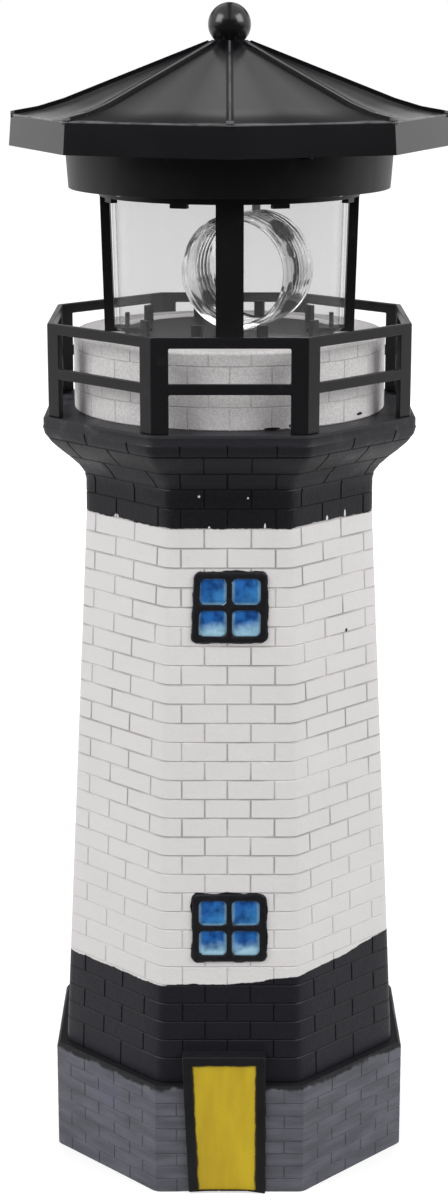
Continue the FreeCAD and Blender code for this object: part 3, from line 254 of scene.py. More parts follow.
print("sums ready")

# %% [markdown]
# A second class holds one finish: a material with a Principled shader, the place on the piece in
# millimetres, and one method that makes any other node from its type, its settings and the values of its
# inputs.

# %% One finish
class Finish:
    """One material with a Principled shader."""

    def __init__(self, name, colour=(0.5, 0.5, 0.5), rough=0.5, **fixed):
        self.material = bpy.data.materials.new(name)
        self.material.use_nodes = True
        self.tree = self.material.node_tree
        self.shader = self.tree.nodes["Principled BSDF"]
        self.shader.inputs["Base Color"].default_value = (*colour, 1.0)
        self.shader.inputs["Roughness"].default_value = rough
        for socket, number in fixed.items():
            self.shader.inputs[socket.replace("_", " ")].default_value = number
        place = self.node("ShaderNodeTexCoord")
        self.place = place.outputs["Object"]
        split = self.node("ShaderNodeSeparateXYZ", inputs={"Vector": self.place})
        self.x, self.y, self.z = (self.out(split, axis) * 1000.0 for axis in "XYZ")

    def feed(self, socket, value):
        """Link a socket to a value, or set it where the value is a plain number or colour."""
        if isinstance(value, Value):
            value = value.socket
        if isinstance(value, bpy.types.NodeSocket):
            self.tree.links.new(value, socket)
        elif hasattr(socket.default_value, "__len__") and len(socket.default_value) == 4 and len(value) == 3:
            socket.default_value = (*value, 1.0)
        else:
            socket.default_value = value

    def node(self, kind, settings=None, inputs=None):
        """Add a node of any kind, with its settings first and then its inputs."""
        node = self.tree.nodes.new(kind)
        for name, value in (settings or {}).items():
            setattr(node, name, value)
        for name, value in (inputs or {}).items():
            self.feed(node.inputs[name], value)
        return node

    def out(self, node, name=0):
        """One output of a node, ready for sums."""
        return Value(self, node.outputs[name])

    def noise(self, scale, detail=3.0, rough=0.5, place=None, stretch=None):
        """Cloudy noise of about 0 to 1; the scale is in patches per metre."""
        place = place or self.place
        if stretch:
            place = self.node("ShaderNodeMapping", inputs={"Vector": place, "Scale": stretch}).outputs[0]
        node = self.node("ShaderNodeTexNoise", inputs={"Vector": place, "Scale": scale, "Detail": detail,
                                                       "Roughness": rough})
        return self.out(node, 0)

    def blot(self, centre, sizes, ragged=0.5):
        """1 inside a ragged blot of half sizes about a centre, in millimetres."""
        far = [(axis - at) / size for axis, at, size in zip((self.x, self.y, self.z), centre, sizes)]
        reach = far[0] * far[0] + far[1] * far[1] + far[2] * far[2]
        return (reach + (self.noise(1500.0, 2.0) - 0.5) * 2.0 * ragged).ramp(1.15, 0.85)

    def blend(self, share, first, second):
        """A colour between two, by a share from 0 to 1."""
        node = self.tree.nodes.new("ShaderNodeMix")
        node.data_type = "RGBA"
        self.feed(node.inputs[0], share)
        self.feed(node.inputs[6], first)
        self.feed(node.inputs[7], second)
        return node.outputs[2]

    def bump(self, height, depth, under=None):
        """Raise the surface by a height from 0 to 1 times a depth in millimetres."""
        inputs = {"Height": height, "Distance": depth * MM, "Strength": 1.0}
        if under is not None:
            inputs["Normal"] = under
        return self.node("ShaderNodeBump", inputs=inputs).outputs[0]

    def set(self, **inputs):
        """Feed the shader's own inputs, and give back the finished material."""
        for socket, value in inputs.items():
            self.feed(self.shader.inputs[socket.replace("_", " ")], value)
        return self.material


print("finishes ready")

# %% [markdown]
# Colours are written the way a picture shows them, 0 to 255, and turned into the linear values that a
# renderer adds and multiplies.

# %% Colours
def seen(red, green, blue):
    """A colour as it looks on a screen, made linear."""
    return tuple(c / 12.92 if c <= 0.04045 else ((c + 0.055) / 1.055) ** 2.4
                 for c in (red / 255.0, green / 255.0, blue / 255.0))


WHITE_PAINT = seen(213, 210, 210)
JOINT_GREY = seen(150, 148, 147)
BLACK_PAINT = seen(24, 23, 28)
PLINTH_GREY = seen(84, 85, 92)
PLINTH_DARK = seen(58, 58, 64)
DOOR_YELLOW = seen(212, 184, 44)
print("white paint, linear:", [round(c, 3) for c in WHITE_PAINT])

# %% [markdown]
# The tower's main sizes are needed by the paint and by the forms, so they are named once, here. Widths are
# taken across the flats of the eight-sided form, which is how such a casting is measured, and heights from
# the ground. Half a fold of turn puts a flat to the front, where the door and the windows are.

# %% Main sizes
FACES = 8
FOLD = math.radians(360.0 / FACES)
FLAT_TO_FRONT = 180.0 / FACES
CORNER_TO_FLAT = math.cos(FOLD / 2)
PLINTH_TOP, LOW_BAND_TOP, NECK_FOOT, FLARE_FOOT, FLARE_TOP, DECK = 27.2, 51.8, 160.0, 167.6, 180.8, 182.9
SHAFT_FOOT_FLATS, NECK_FLATS, DECK_FLATS, PLINTH_FLATS = 79.2, 66.3, 85.6, 84.3
WINDOW_WIDE, WINDOW_HIGH, UPPER_WINDOW, LOWER_WINDOW = 17.2, 16.4, 142.0, 65.7


def corner(flats):
    """Corner radius of an eight-sided form, from its width across the flats."""
    return flats / 2 / CORNER_TO_FLAT


print("shaft's corner radius", round(corner(SHAFT_FOOT_FLATS), 2), "to", round(corner(NECK_FLATS), 2), "mm")

# %% [markdown]
# The casting is painted by hand: white on the shaft and drum, black on the cornice and in a band over the
# plinth, grey on the plinth. The edges of the black wander a little, as a brush does, so each boundary is a
# height that noise moves, and the lower one climbs towards the right. Small nicks show white through the
# black, and small smears of black lie on the white.

# %% Brushed edges
def sway(paint):
    """How far a brush strays from its line, in millimetres."""
    return (paint.noise(160.0, 2.0) - 0.5) * 1.3 + (paint.noise(900.0, 2.0) - 0.5) * 0.5


def black_under(paint, edge):
    """1 under a brushed edge that climbs to the right."""
    right = paint.x.at_least(0.0)
    rising = right * right * 0.0022 + paint.x.ramp(0.0, 15.0) * 1.2 - paint.x.ramp(-9.0, -17.0) * 0.7
    return (paint.z + sway(paint) - rising).ramp(edge + 0.12, edge - 0.12)


def black_over(paint, edge):
    """1 over a level brushed edge."""
    return (paint.z + sway(paint)).ramp(edge - 0.12, edge + 0.12)


NICKS = [((-6.87, -33.15, 167.43), (0.27, 3.0, 0.27)), ((4.13, -33.15, 167.09), (0.22, 3.0, 0.24)),
         ((7.97, -33.15, 160.3), (0.22, 3.0, 1.0)), ((-4.6, -33.15, 160.1), (0.3, 3.0, 0.5)),
         ((22.3, -24.6, 160.4), (0.25, 3.0, 0.9)), ((26.6, -20.2, 160.8), (0.2, 3.0, 1.0)),
         ((-26.0, -21.0, 160.3), (0.5, 3.0, 0.6))]
SMEARS = [((9.3, -35.1, 183.2), (1.9, 2.0, 0.3)), ((13.6, -33.6, 183.6), (0.4, 2.0, 0.4)),
          ((27.2, -21.6, 133.3), (0.3, 2.0, 0.5)), ((29.5, -21.1, 184.2), (0.9, 1.5, 0.35))]
print("nicks", len(NICKS), "smears", len(SMEARS))

# %% [markdown]
# Round each window the black of the frame ran over the wall. The spill follows a box with rounded corners,
# and noise makes its edge ragged.

# %% Spill round the windows
SPILL_CORNER = 1.5


def window_spill(paint, middle, lean, ragged):
    """1 where black paint lies round a window; the lean moves its left side with height."""
    shift = (paint.z - middle + 7.0) * lean
    wide = ((paint.x + 0.05 - shift).size() - (WINDOW_WIDE / 2 - SPILL_CORNER) + shift).at_least(0.0)
    high = ((paint.z - middle).size() - (WINDOW_HIGH / 2 - SPILL_CORNER)).at_least(0.0)
    beside = (wide * wide + high * high).power(0.5) - SPILL_CORNER + ragged
    return beside.ramp(0.32, 0.12) * paint.y.ramp(-28.0, -30.0)


print("window spill ready")

# %% [markdown]
# The joints between bricks have the same paint, greyer where dirt and shadow sit in them and fading out in
# patches, because the mould is worn there. The drum behind the railing is rougher and its joints are
# fainter. The black of the cornice is lifted towards grey, a little all over as painted sheen, and more in
# patches at its sides, which are partly scuffs and partly painted sheen from the side lamps.

# %% Casting paint
def casting_paint(name, joints, on_shaft=True):
    """White with brushed black, for the bricks or the joints, of the shaft or the drum."""
    paint = Finish(name, WHITE_PAINT, 0.55, Specular_IOR_Level=0.27)
    blotch = paint.noise(55.0, 3.0)
    fine = paint.noise(1400.0, 3.0)
    # Painted light: the drum's white is lifted by nine levels to make up for the shade the roof casts on it.
    painted_light_lift = 0 if on_shaft else 9
    white = paint.blend(blotch, seen(*(v + painted_light_lift for v in (216, 213, 213))),
                        seen(*(v + painted_light_lift for v in (208, 205, 205))))
    if not on_shaft:
        white = paint.blend(paint.noise(2300.0, 2.0).ramp(0.35, 0.65) * 0.5, white, seen(184, 181, 181))
    black = paint.blend(fine, seen(15, 14, 19), seen(27, 26, 32))
    # Painted sheen on the cornice: a slight grey all over, and more in side patches that are partly scuffs.
    scuffs_and_sheen = paint.noise(150.0, 4.0, 0.6).ramp(0.5, 0.72) * paint.x.size().ramp(20.0, 30.0)
    black = paint.blend((scuffs_and_sheen * 0.45 + 0.07) * paint.z.ramp(166.0, 171.0), black, seen(92, 90, 96))
    black = paint.blend(paint.z.ramp(62.0, 50.0) * 0.5, black, seen(29, 28, 37))
    if joints:
        low_sides = (paint.x.size() * 0.6 - paint.z + 78.0).ramp(0.0, 26.0)
        worn = paint.noise(75.0, 3.0).ramp(0.3, 0.66) * (1.0 - low_sides * 0.8)
        white = paint.blend((worn * 0.66 + 0.08) * (1.0 if on_shaft else 0.4), white, JOINT_GREY)
        black = paint.blend(0.6, black, seen(10, 9, 12))
    dark = paint.blot(*SMEARS[0])
    for smear in SMEARS[1:]:
        dark = dark.at_least(paint.blot(*smear))
    if on_shaft:
        dark = dark.at_least(black_under(paint, LOW_BAND_TOP)).at_least(black_over(paint, NECK_FOOT))
        ragged = (paint.noise(230.0, 3.0) - 0.5) * 1.5
        for middle, lean in ((UPPER_WINDOW, 0.03), (LOWER_WINDOW, 0.0)):
            dark = dark.at_least(window_spill(paint, middle, lean, ragged))
    for nick in NICKS:
        dark = dark * (1.0 - paint.blot(*nick))
    height = fine * 0.4 + paint.noise(420.0, 3.0) * 0.6
    return paint.set(Base_Color=paint.blend(dark, white, black),
                     Roughness=0.62 - dark * 0.15 + (fine - 0.5) * 0.2,
                     Normal=paint.bump(height, 0.16 if on_shaft else 0.26))


brick_paint = casting_paint("brick_paint", False)
joint_paint = casting_paint("joint_paint", True)
print("casting paints made")

# %% [markdown]
# The brickwork is modelled, not painted. Every course and joint is cut into the wall with a bisect, the
# edges along the joints are split so that each brick is an island, and one inset shrinks and lifts all the
# islands at once. Welding the mesh again leaves a shallow groove round every brick, also where a brick
# bends round a fold of the tower.

# %% Brick relief
def cut_plane(piece, point, normal):
    """Cut the selected faces along a plane, and keep the faces selected."""
    bpy.ops.mesh.bisect(plane_co=[v * MM for v in point], plane_no=normal, use_fill=False,
                        clear_inner=False, clear_outer=False)


def raise_bricks(piece, brick_of, groove, height):
    """Split the mesh between bricks, then inset and lift every brick."""
    hold(piece)
    bpy.ops.object.mode_set(mode="EDIT")
    bpy.ops.mesh.select_mode(type="EDGE")
    bpy.ops.mesh.select_all(action="DESELECT")
    mesh = bmesh.from_edit_mesh(piece.data)
    mesh.faces.ensure_lookup_table()
    tag = {face.index: brick_of(face, middle_of(face) / MM) for face in mesh.faces}
    for edge in mesh.edges:
        marks = {tag[face.index] for face in edge.link_faces}
        if len(marks) > 1:
            edge.select_set(True)
    bmesh.update_edit_mesh(piece.data)
    bpy.ops.mesh.edge_split(type="EDGE")
    bricks = pick(piece, "faces", lambda face, at: brick_of(face, at) is not None)
    bpy.ops.mesh.inset(thickness=groove / 2 * MM, depth=height * MM, use_boundary=True,
                       use_even_offset=True, use_individual=False)
    mesh = bmesh.from_edit_mesh(piece.data)
    for face in mesh.faces:
        face.material_index = 0 if face.select or brick_of(face, middle_of(face) / MM) is None else 1
    bmesh.update_edit_mesh(piece.data)
    bpy.ops.mesh.select_all(action="SELECT")
    bpy.ops.mesh.remove_doubles(threshold=0.004 * MM)
    bpy.ops.object.mode_set(mode="OBJECT")
    print(piece.name, "brick faces", bricks)


print("brick relief ready")

# %% [markdown]
# The shaft, neck, cornice and deck are one eight-sided form. It starts as a plain octagonal prism, and each
# change of width is one extrusion of its top, scaled to the next width, so the cornice keeps eight clean
# folds. The same extrusion then turns inwards and down to make the hollow inside.

# %% Shaft, cornice and deck
MOUTH_FLATS, THROAT_FLATS, HOLLOW_FLATS = 54.0, 56.3, 69.2
FLARE_STEPS = 7


def shaft_flats(height):
    """Width across the flats of the leaning shaft."""
    share = min(max((height - PLINTH_TOP) / (NECK_FOOT - PLINTH_TOP), 0.0), 1.0)
    return SHAFT_FOOT_FLATS + (NECK_FLATS - SHAFT_FOOT_FLATS) * share


def grow(piece, was_radius, radius, rise):
    """Extrude the selected face and scale it about the axis to a new corner radius."""
    bpy.ops.mesh.extrude_region_move(TRANSFORM_OT_translate={"value": (0, 0, rise * MM)})
    share = radius / was_radius
    bpy.ops.transform.resize(value=(share, share, 1.0), center_override=(0, 0, 0))


def flare_radius(share):
    """The cornice sweeps out in an S curve from the neck to the lip."""
    spread = (1.0 - math.cos(math.pi * share)) / 2.0
    return corner(NECK_FLATS + (DECK_FLATS - NECK_FLATS) * spread)


shaft = prism("brick_shaft", FACES, corner(SHAFT_FOOT_FLATS), PLINTH_TOP, PLINTH_TOP + 1.0, FLAT_TO_FRONT)
pick(shaft, "faces", lambda face, at: face.normal.z > 0.9)
levels = [(NECK_FOOT, corner(NECK_FLATS)), (FLARE_FOOT, corner(NECK_FLATS))]
for step in range(1, FLARE_STEPS + 1):
    rise = (FLARE_TOP - FLARE_FOOT) * step / FLARE_STEPS
    levels.append((FLARE_FOOT + rise, flare_radius(step / FLARE_STEPS)))
levels += [(DECK - 0.5, corner(DECK_FLATS)), (DECK, corner(DECK_FLATS - 1.0)), (DECK, corner(MOUTH_FLATS)),
           (FLARE_FOOT, corner(THROAT_FLATS)), (PLINTH_TOP, corner(HOLLOW_FLATS))]
height, radius = PLINTH_TOP + 1.0, corner(SHAFT_FOOT_FLATS)
for next_height, next_radius in levels:
    grow(shaft, radius, next_radius, next_height - height)
    height, radius = next_height, next_radius
pick(shaft, "faces", lambda face, at: abs(face.normal.z) > 0.99 and at.z < PLINTH_TOP + 0.5
     and at.xy.length < 1)
bpy.ops.mesh.delete(type="FACE")
pick(shaft, "edges", lambda edge, at: edge.is_boundary)
bpy.ops.mesh.bridge_edge_loops()
print("shaft levels", len(levels))

# %% [markdown]
# A casting has no knife-sharp fold. Each upright fold of the outside gets a bevel of two segments, wide
# enough to catch the light as a soft line.

# %% Round the folds
pick(shaft, "edges", lambda edge, at: at.xy.length > corner(shaft_flats(at.z)) - 0.6 and at.z < DECK - 0.2
     and abs((edge.verts[0].co - edge.verts[1].co).normalized().z) > 0.4)
bpy.ops.mesh.bevel(offset=1.1 * MM, segments=2, affect="EDGES", profile=0.5)
bpy.ops.object.mode_set(mode="OBJECT")
print("folds rounded", len(shaft.data.polygons), "faces")

# %% [markdown]
# Shaft and plinth are both laid in courses on eight walls, so the same few helpers serve them. They say on
# which wall a point is, how far along that wall, and in which course.

# %% Where a point is
def wall_of(at):
    """Number of the wall a point is on, 0 at the front and counted anticlockwise from above."""
    return round((math.atan2(at.y, at.x) + math.pi / 2) / FOLD) % FACES


def along(at, wall):
    """How far along its wall a point is, to the right as seen from outside."""
    angle = wall * FOLD
    return at.x * math.cos(angle) + at.y * math.sin(angle)


def course_of(at, lines):
    """Number of courses under a point."""
    return sum(at.z > line for line in lines)


print("front wall is", wall_of(Vector((0, -1, 0))), "and the right-hand one is", wall_of(Vector((1, 0, 0))))

# %% [markdown]
# Level cuts go round the whole outside first. Upright cuts then go through every other course of one wall
# at a time. The last brick of a wall and the first of the next one are the same brick, bent round the fold,
# so both halves get the same number.

# %% Cut and number the bricks
def lay_courses(piece, outside, lines, joints_on):
    """Cut level lines round a piece, and upright joints into every other course of each wall."""
    for line in lines:
        pick(piece, "faces", outside)
        cut_plane(piece, (0, 0, line), (0, 0, 1))
    for wall in range(FACES):
        across = (math.cos(wall * FOLD), math.sin(wall * FOLD), 0.0)
        for parity in (0, 1):
            for joint in joints_on(wall, parity):
                pick(piece, "faces", lambda face, at: outside(face, at) and wall_of(at) == wall
                     and course_of(at, lines) % 2 == parity)
                cut_plane(piece, (across[0] * joint, across[1] * joint, 0.0), across)
    print(piece.name, "cut in", len(bmesh.from_edit_mesh(piece.data).faces), "faces")


def brick_number(at, lines, joints_on):
    """Course, wall and number of the brick that a point of the brickwork is in."""
    wall, course = wall_of(at), course_of(at, lines)
    joints = joints_on(wall, course)
    passed = sum(along(at, wall) > joint for joint in joints)
    if passed == len(joints):
        wall, passed = (wall + 1) % FACES, 0
    return course, wall, passed


print("brick laying ready")

# %% [markdown]
# Front wall and side walls have their own bond. On the front the joints sit at the middle and eleven
# millimetres to each side, shifted by half a brick in every other course. The other walls are spaced a
# little wider. The end bricks of every wall run round the folds.

# %% Shaft's bricks
COURSE = 4.52
COURSE_LINES = [155.44 + COURSE * step for step in range(-27, 6)]
FRONT_JOINTS = ((-5.7, 4.9), (-11.0, -0.5, 10.4))
SIDE_JOINTS = ((-10.5, 2.8), (-3.4, 10.5))


def shaft_joints(wall, course):
    """Places of the upright joints in one course of a wall."""
    return (FRONT_JOINTS if wall == 0 else SIDE_JOINTS)[course % 2]


def shaft_outer(face, at):
    """True on the outside of the shaft, from the plinth to under the deck's lip."""
    facing = face.normal.x * at.x + face.normal.y * at.y
    return facing > 0.0 and PLINTH_TOP < at.z < FLARE_TOP and at.xy.length > shaft_flats(at.z) / 2 - 2.0


def shaft_brick(face, at):
    """Number of the brick a face of the shaft is in, or None off the brickwork."""
    return brick_number(at, COURSE_LINES, shaft_joints) if shaft_outer(face, at) else None


lay_courses(shaft, shaft_outer, COURSE_LINES, shaft_joints)
raise_bricks(shaft, shaft_brick, 0.5, 0.22)
shaft.data.materials.append(brick_paint)
shaft.data.materials.append(joint_paint)
finish_mesh(shaft, 30.0)
belongs(shaft, "tower", "tower", "tower_casting")

# %% [markdown]
# The plinth is a separate block in look, though it is the same casting. Its lower corners are worn back and
# the bottom edge of the front arches up a little. It has the same shallow bricks, in lower courses. Its
# grey was brushed on in level strokes over the black, which still shows along the top edge.

# %% Plinth paint
def plinth_paint(name, joints):
    """Streaky grey, with black bleeding over the top edge."""
    paint = Finish(name, PLINTH_GREY, 0.5, Specular_IOR_Level=0.3)
    streak = paint.noise(260.0, 3.0, stretch=(0.35, 0.35, 1.6))
    fine = paint.noise(1500.0, 3.0)
    grey = paint.blend(streak.ramp(0.3, 0.75), seen(79, 80, 87), seen(98, 99, 107))
    bluer = paint.noise(70.0, 2.0).ramp(0.5, 0.7) * paint.x.ramp(-4.0, -30.0)
    grey = paint.blend(bluer * 0.5, grey, seen(92, 92, 112))
    if joints:
        grey = paint.blend(paint.noise(90.0, 3.0).ramp(0.3, 0.7) * 0.5 + 0.1, grey, PLINTH_DARK)
    bleed = (paint.z + (paint.noise(170.0, 4.0, 0.6) - 0.5) * 3.0).ramp(25.9, 26.7)
    height = fine * 0.4 + paint.noise(430.0, 3.0) * 0.6
    return paint.set(Base_Color=paint.blend(bleed, grey, seen(15, 14, 18)),
                     Roughness=bleed * 0.2 + (fine - 0.5) * 0.25 + 0.5,
                     Normal=paint.bump(height, 0.14))


plinth_face, plinth_joint = plinth_paint("plinth_face", False), plinth_paint("plinth_joint", True)
print("plinth paints made")

# %% [markdown]
# The block is a prism whose top is drawn in over a small chamfer, and then turned down inside to the
# hollow's width. The foot corners are rounded off by a bevel of their vertices.

# %% Plinth
PLINTH_SHOULDER, CHAMFER_FLATS, LEDGE_FLATS = 26.4, 83.2, 78.0
plinth = prism("plinth", FACES, corner(PLINTH_FLATS), 0.0, PLINTH_SHOULDER, FLAT_TO_FRONT)
pick(plinth, "faces", lambda face, at: face.normal.z > 0.9)
grow(plinth, corner(PLINTH_FLATS), corner(CHAMFER_FLATS), PLINTH_TOP - PLINTH_SHOULDER)
grow(plinth, corner(CHAMFER_FLATS), corner(LEDGE_FLATS), 0.0)
grow(plinth, corner(LEDGE_FLATS), corner(HOLLOW_FLATS), 0.0)
grow(plinth, corner(HOLLOW_FLATS), corner(HOLLOW_FLATS), -PLINTH_TOP)
bpy.ops.mesh.delete(type="FACE")
pick(plinth, "faces", lambda face, at: face.normal.z < -0.9)
bpy.ops.mesh.delete(type="FACE")
pick(plinth, "edges", lambda edge, at: edge.is_boundary)
bpy.ops.mesh.bridge_edge_loops()
pick(plinth, "verts", lambda vert, at: at.z < 0.1 and at.xy.length > 44.0)
bpy.ops.mesh.bevel(offset=1.0 * MM, segments=2, affect="VERTICES", profile=0.5)
bpy.ops.object.mode_set(mode="OBJECT")
print("plinth block", len(plinth.data.polygons), "faces")

# %% [markdown]
# The plinth's bricks are laid as the shaft's are, in seven lower courses with their own joints, and lifted
# less.

# %% Plinth bricks
PLINTH_LINES = [3.4 + 3.25 * step for step in range(7)]
PLINTH_JOINTS = ((-12.5, -2.5, 8.5), (-7.5, 3.0, 13.0))


def plinth_joints(wall, course):
    """Places of the upright joints, the same on every wall."""
    return PLINTH_JOINTS[course % 2]


def plinth_outer(face, at):
    """True on the upright outside of the plinth."""
    facing = face.normal.x * at.x + face.normal.y * at.y
    return facing > 0.3 * at.xy.length and 0.0 < at.z < PLINTH_SHOULDER and at.xy.length > 40.0


def plinth_brick(face, at):
    """Number of the brick a face of the plinth is in, or None off the brickwork."""
    return brick_number(at, PLINTH_LINES, plinth_joints) if plinth_outer(face, at) else None


lay_courses(plinth, plinth_outer, PLINTH_LINES, plinth_joints)
raise_bricks(plinth, plinth_brick, 0.4, 0.14)

# %% [markdown]
# Under the door the foot of the casting arches up by less than a millimetre. The foot edge is cut in short
# lengths, and each end is lifted to a curve of the fourth power, which is flat in its middle.

# %% Arch under the door
ARCH_MIDDLE, ARCH_HALF, ARCH_RISE = -1.4, 9.9, 0.8


def arch(across):
    """Height of the arch at a place across the front."""
    return max(1.0 - ((across - ARCH_MIDDLE) / ARCH_HALF) ** 4, 0.0) * ARCH_RISE


def raise_foot(piece, cuts, under):
    """Cut a foot edge in short lengths, and lift each end to the arch."""
    for across in cuts:
        pick(piece, "faces", lambda face, at: at.y < -41.0 and at.z < 20.0)
        cut_plane(piece, (across, 0, 0), (1, 0, 0))
    places = []
    pick(piece, "verts", lambda vert, at: at.y < -41.0 and at.z < under and not places.append(round(at.x, 2)))
    for across in sorted(set(places)):
        pick(piece, "verts", lambda vert, at: at.y < -41.0 and at.z < under and round(at.x, 2) == across)
        bpy.ops.transform.translate(value=(0, 0, arch(across) * MM))
    bpy.ops.object.mode_set(mode="OBJECT")


raise_foot(plinth, (-11.0, -10.2, -8.6, -6.0, 1.2, 4.6, 6.2, 7.8), 0.1)
plinth.data.materials.append(plinth_face)
plinth.data.materials.append(plinth_joint)
finish_mesh(plinth, 30.0)
belongs(plinth, "tower", "tower", "tower_casting")

# %% [markdown]
# The drum over the deck is round and white, with four courses of bricks. It starts as a ring of ninety-six
# narrow faces, four to a brick, and every other course is shifted by two faces.

# %% Drum
DRUM_RADIUS, DRUM_BORE, DRUM_TOP, DRUM_FACES = 36.3, 25.0, 200.5, 96
DRUM_LINES = [188.0, 192.6, 197.1]
drum = prism("brick_drum", DRUM_FACES, DRUM_RADIUS, DECK, DRUM_TOP - 0.5, 0.0)
pick(drum, "faces", lambda face, at: face.normal.z > 0.9)
grow(drum, DRUM_RADIUS, DRUM_RADIUS - 0.5, 0.5)
grow(drum, DRUM_RADIUS - 0.5, DRUM_BORE, 0.0)
grow(drum, DRUM_BORE, DRUM_BORE, -22.0)
bpy.ops.mesh.delete(type="FACE")
pick(drum, "faces", lambda face, at: face.normal.z < -0.9)
bpy.ops.mesh.delete(type="FACE")
pick(drum, "edges", lambda edge, at: edge.is_boundary)
bpy.ops.mesh.bridge_edge_loops()


def drum_outer(face, at):
    """True on the upright outside of the drum."""
    facing = face.normal.x * at.x + face.normal.y * at.y
    return facing > 0.5 * at.xy.length and at.xy.length > DRUM_RADIUS - 1.0 and at.z < DRUM_TOP - 0.5


for line in DRUM_LINES:
    pick(drum, "faces", drum_outer)
    cut_plane(drum, (0, 0, line), (0, 0, 1))


def drum_brick(face, at):
    """Course and number of the brick a face of the drum is in, or None off the brickwork."""
    if not drum_outer(face, at):
        return None
    course = course_of(at, DRUM_LINES)
    sector = math.floor(math.atan2(at.y, at.x) / (2 * math.pi) * DRUM_FACES) % DRUM_FACES
    return course, ((sector + 2 * (course % 2)) % DRUM_FACES) // 4


raise_bricks(drum, drum_brick, 0.45, 0.18)
drum.data.materials.append(casting_paint("drum_paint", False, on_shaft=False))
drum.data.materials.append(casting_paint("drum_joint", True, on_shaft=False))
finish_mesh(drum, 30.0)
belongs(drum, "tower", "tower", "tower_casting")

# %% [markdown]
# The two windows are cast in relief and painted afterwards: a black frame with four small panes. The upper
# panes are deep blue, the lower ones pale to their foot where the brush lifted, and all have a pale rim
# where the glaze thins at the frame. The blue follows a map of its own, which runs from 0 to 2 across the
# four panes.

# %% Window paint
def frame_paint():
    """Glossy black that a full brush left a little lumpy."""
    paint = Finish("window_frame_paint", BLACK_PAINT, 0.35, Specular_IOR_Level=0.4)
    fine = paint.noise(900.0, 3.0)
    shade = paint.blend(fine, seen(12, 12, 16), seen(30, 30, 36))
    return paint.set(Base_Color=shade, Roughness=0.3 + fine * 0.2, Normal=paint.bump(fine, 0.1))


def pane_paint():
    """Blue glaze; the map of a window runs from 0 to 2 across its panes, both ways."""
    paint = Finish("window_pane_paint", seen(40, 110, 190), 0.25, Specular_IOR_Level=0.5)
    across = paint.node("ShaderNodeUVMap", {"uv_map": "panes"})
    split = paint.node("ShaderNodeSeparateXYZ", inputs={"Vector": across.outputs[0]})
    wide, high = paint.out(split, "X"), paint.out(split, "Y")
    column, row = wide.maths("FRACT", wide), high.maths("FRACT", high)
    upper = high.ramp(0.95, 1.05)
    blot = paint.noise(420.0, 3.0)
    deep = paint.blend(blot.ramp(0.3, 0.7), seen(4, 58, 120), seen(22, 98, 172))
    fade = (1.0 - row + (blot - 0.5) * 0.4 + (column - 0.5) * 0.15).ramp(0.38, 1.0)
    foot = paint.blend(blot, seen(120, 196, 222), seen(206, 232, 238))
    low_pane = paint.blend(fade, deep, foot)
    lit = ((column - row) * 0.5 + blot * 0.4).ramp(0.0, 0.6) * 0.45
    high_pane = paint.blend(lit, deep, seen(70, 158, 214))
    glaze = paint.blend(upper, low_pane, high_pane)
    off_middle = ((column - 0.5).size() * 2.0).at_least((0.5 - row).at_least((row - 0.5) * 0.85) * 2.0)
    rim = (off_middle + (blot - 0.5) * 0.16).ramp(0.6, 0.86) * 0.8
    return paint.set(Base_Color=paint.blend(rim, glaze, seen(146, 190, 216)), Roughness=0.2 + blot * 0.2,
                     Normal=paint.bump(blot, 0.08))


window_black, window_blue = frame_paint(), pane_paint()
print("window paints made")

# %% [markdown]
# A block's front is inset to the frame's width and cut in four, and the four faces are inset again one by
# one, which leaves the glazing bars. The panes are then sunk and slightly crowned, and the corners rounded.
# Last, every vertex strays by a tenth of a millimetre, because no edge of a hand-finished casting is quite
# straight.

# %% Windows
WINDOW_RELIEF, PANE_SINK, FRAME_RIM, BAR = 0.8, 0.5, 0.9, 1.2
WALL_LEAN = math.atan2((SHAFT_FOOT_FLATS - NECK_FLATS) / 2, NECK_FOOT - PLINTH_TOP)


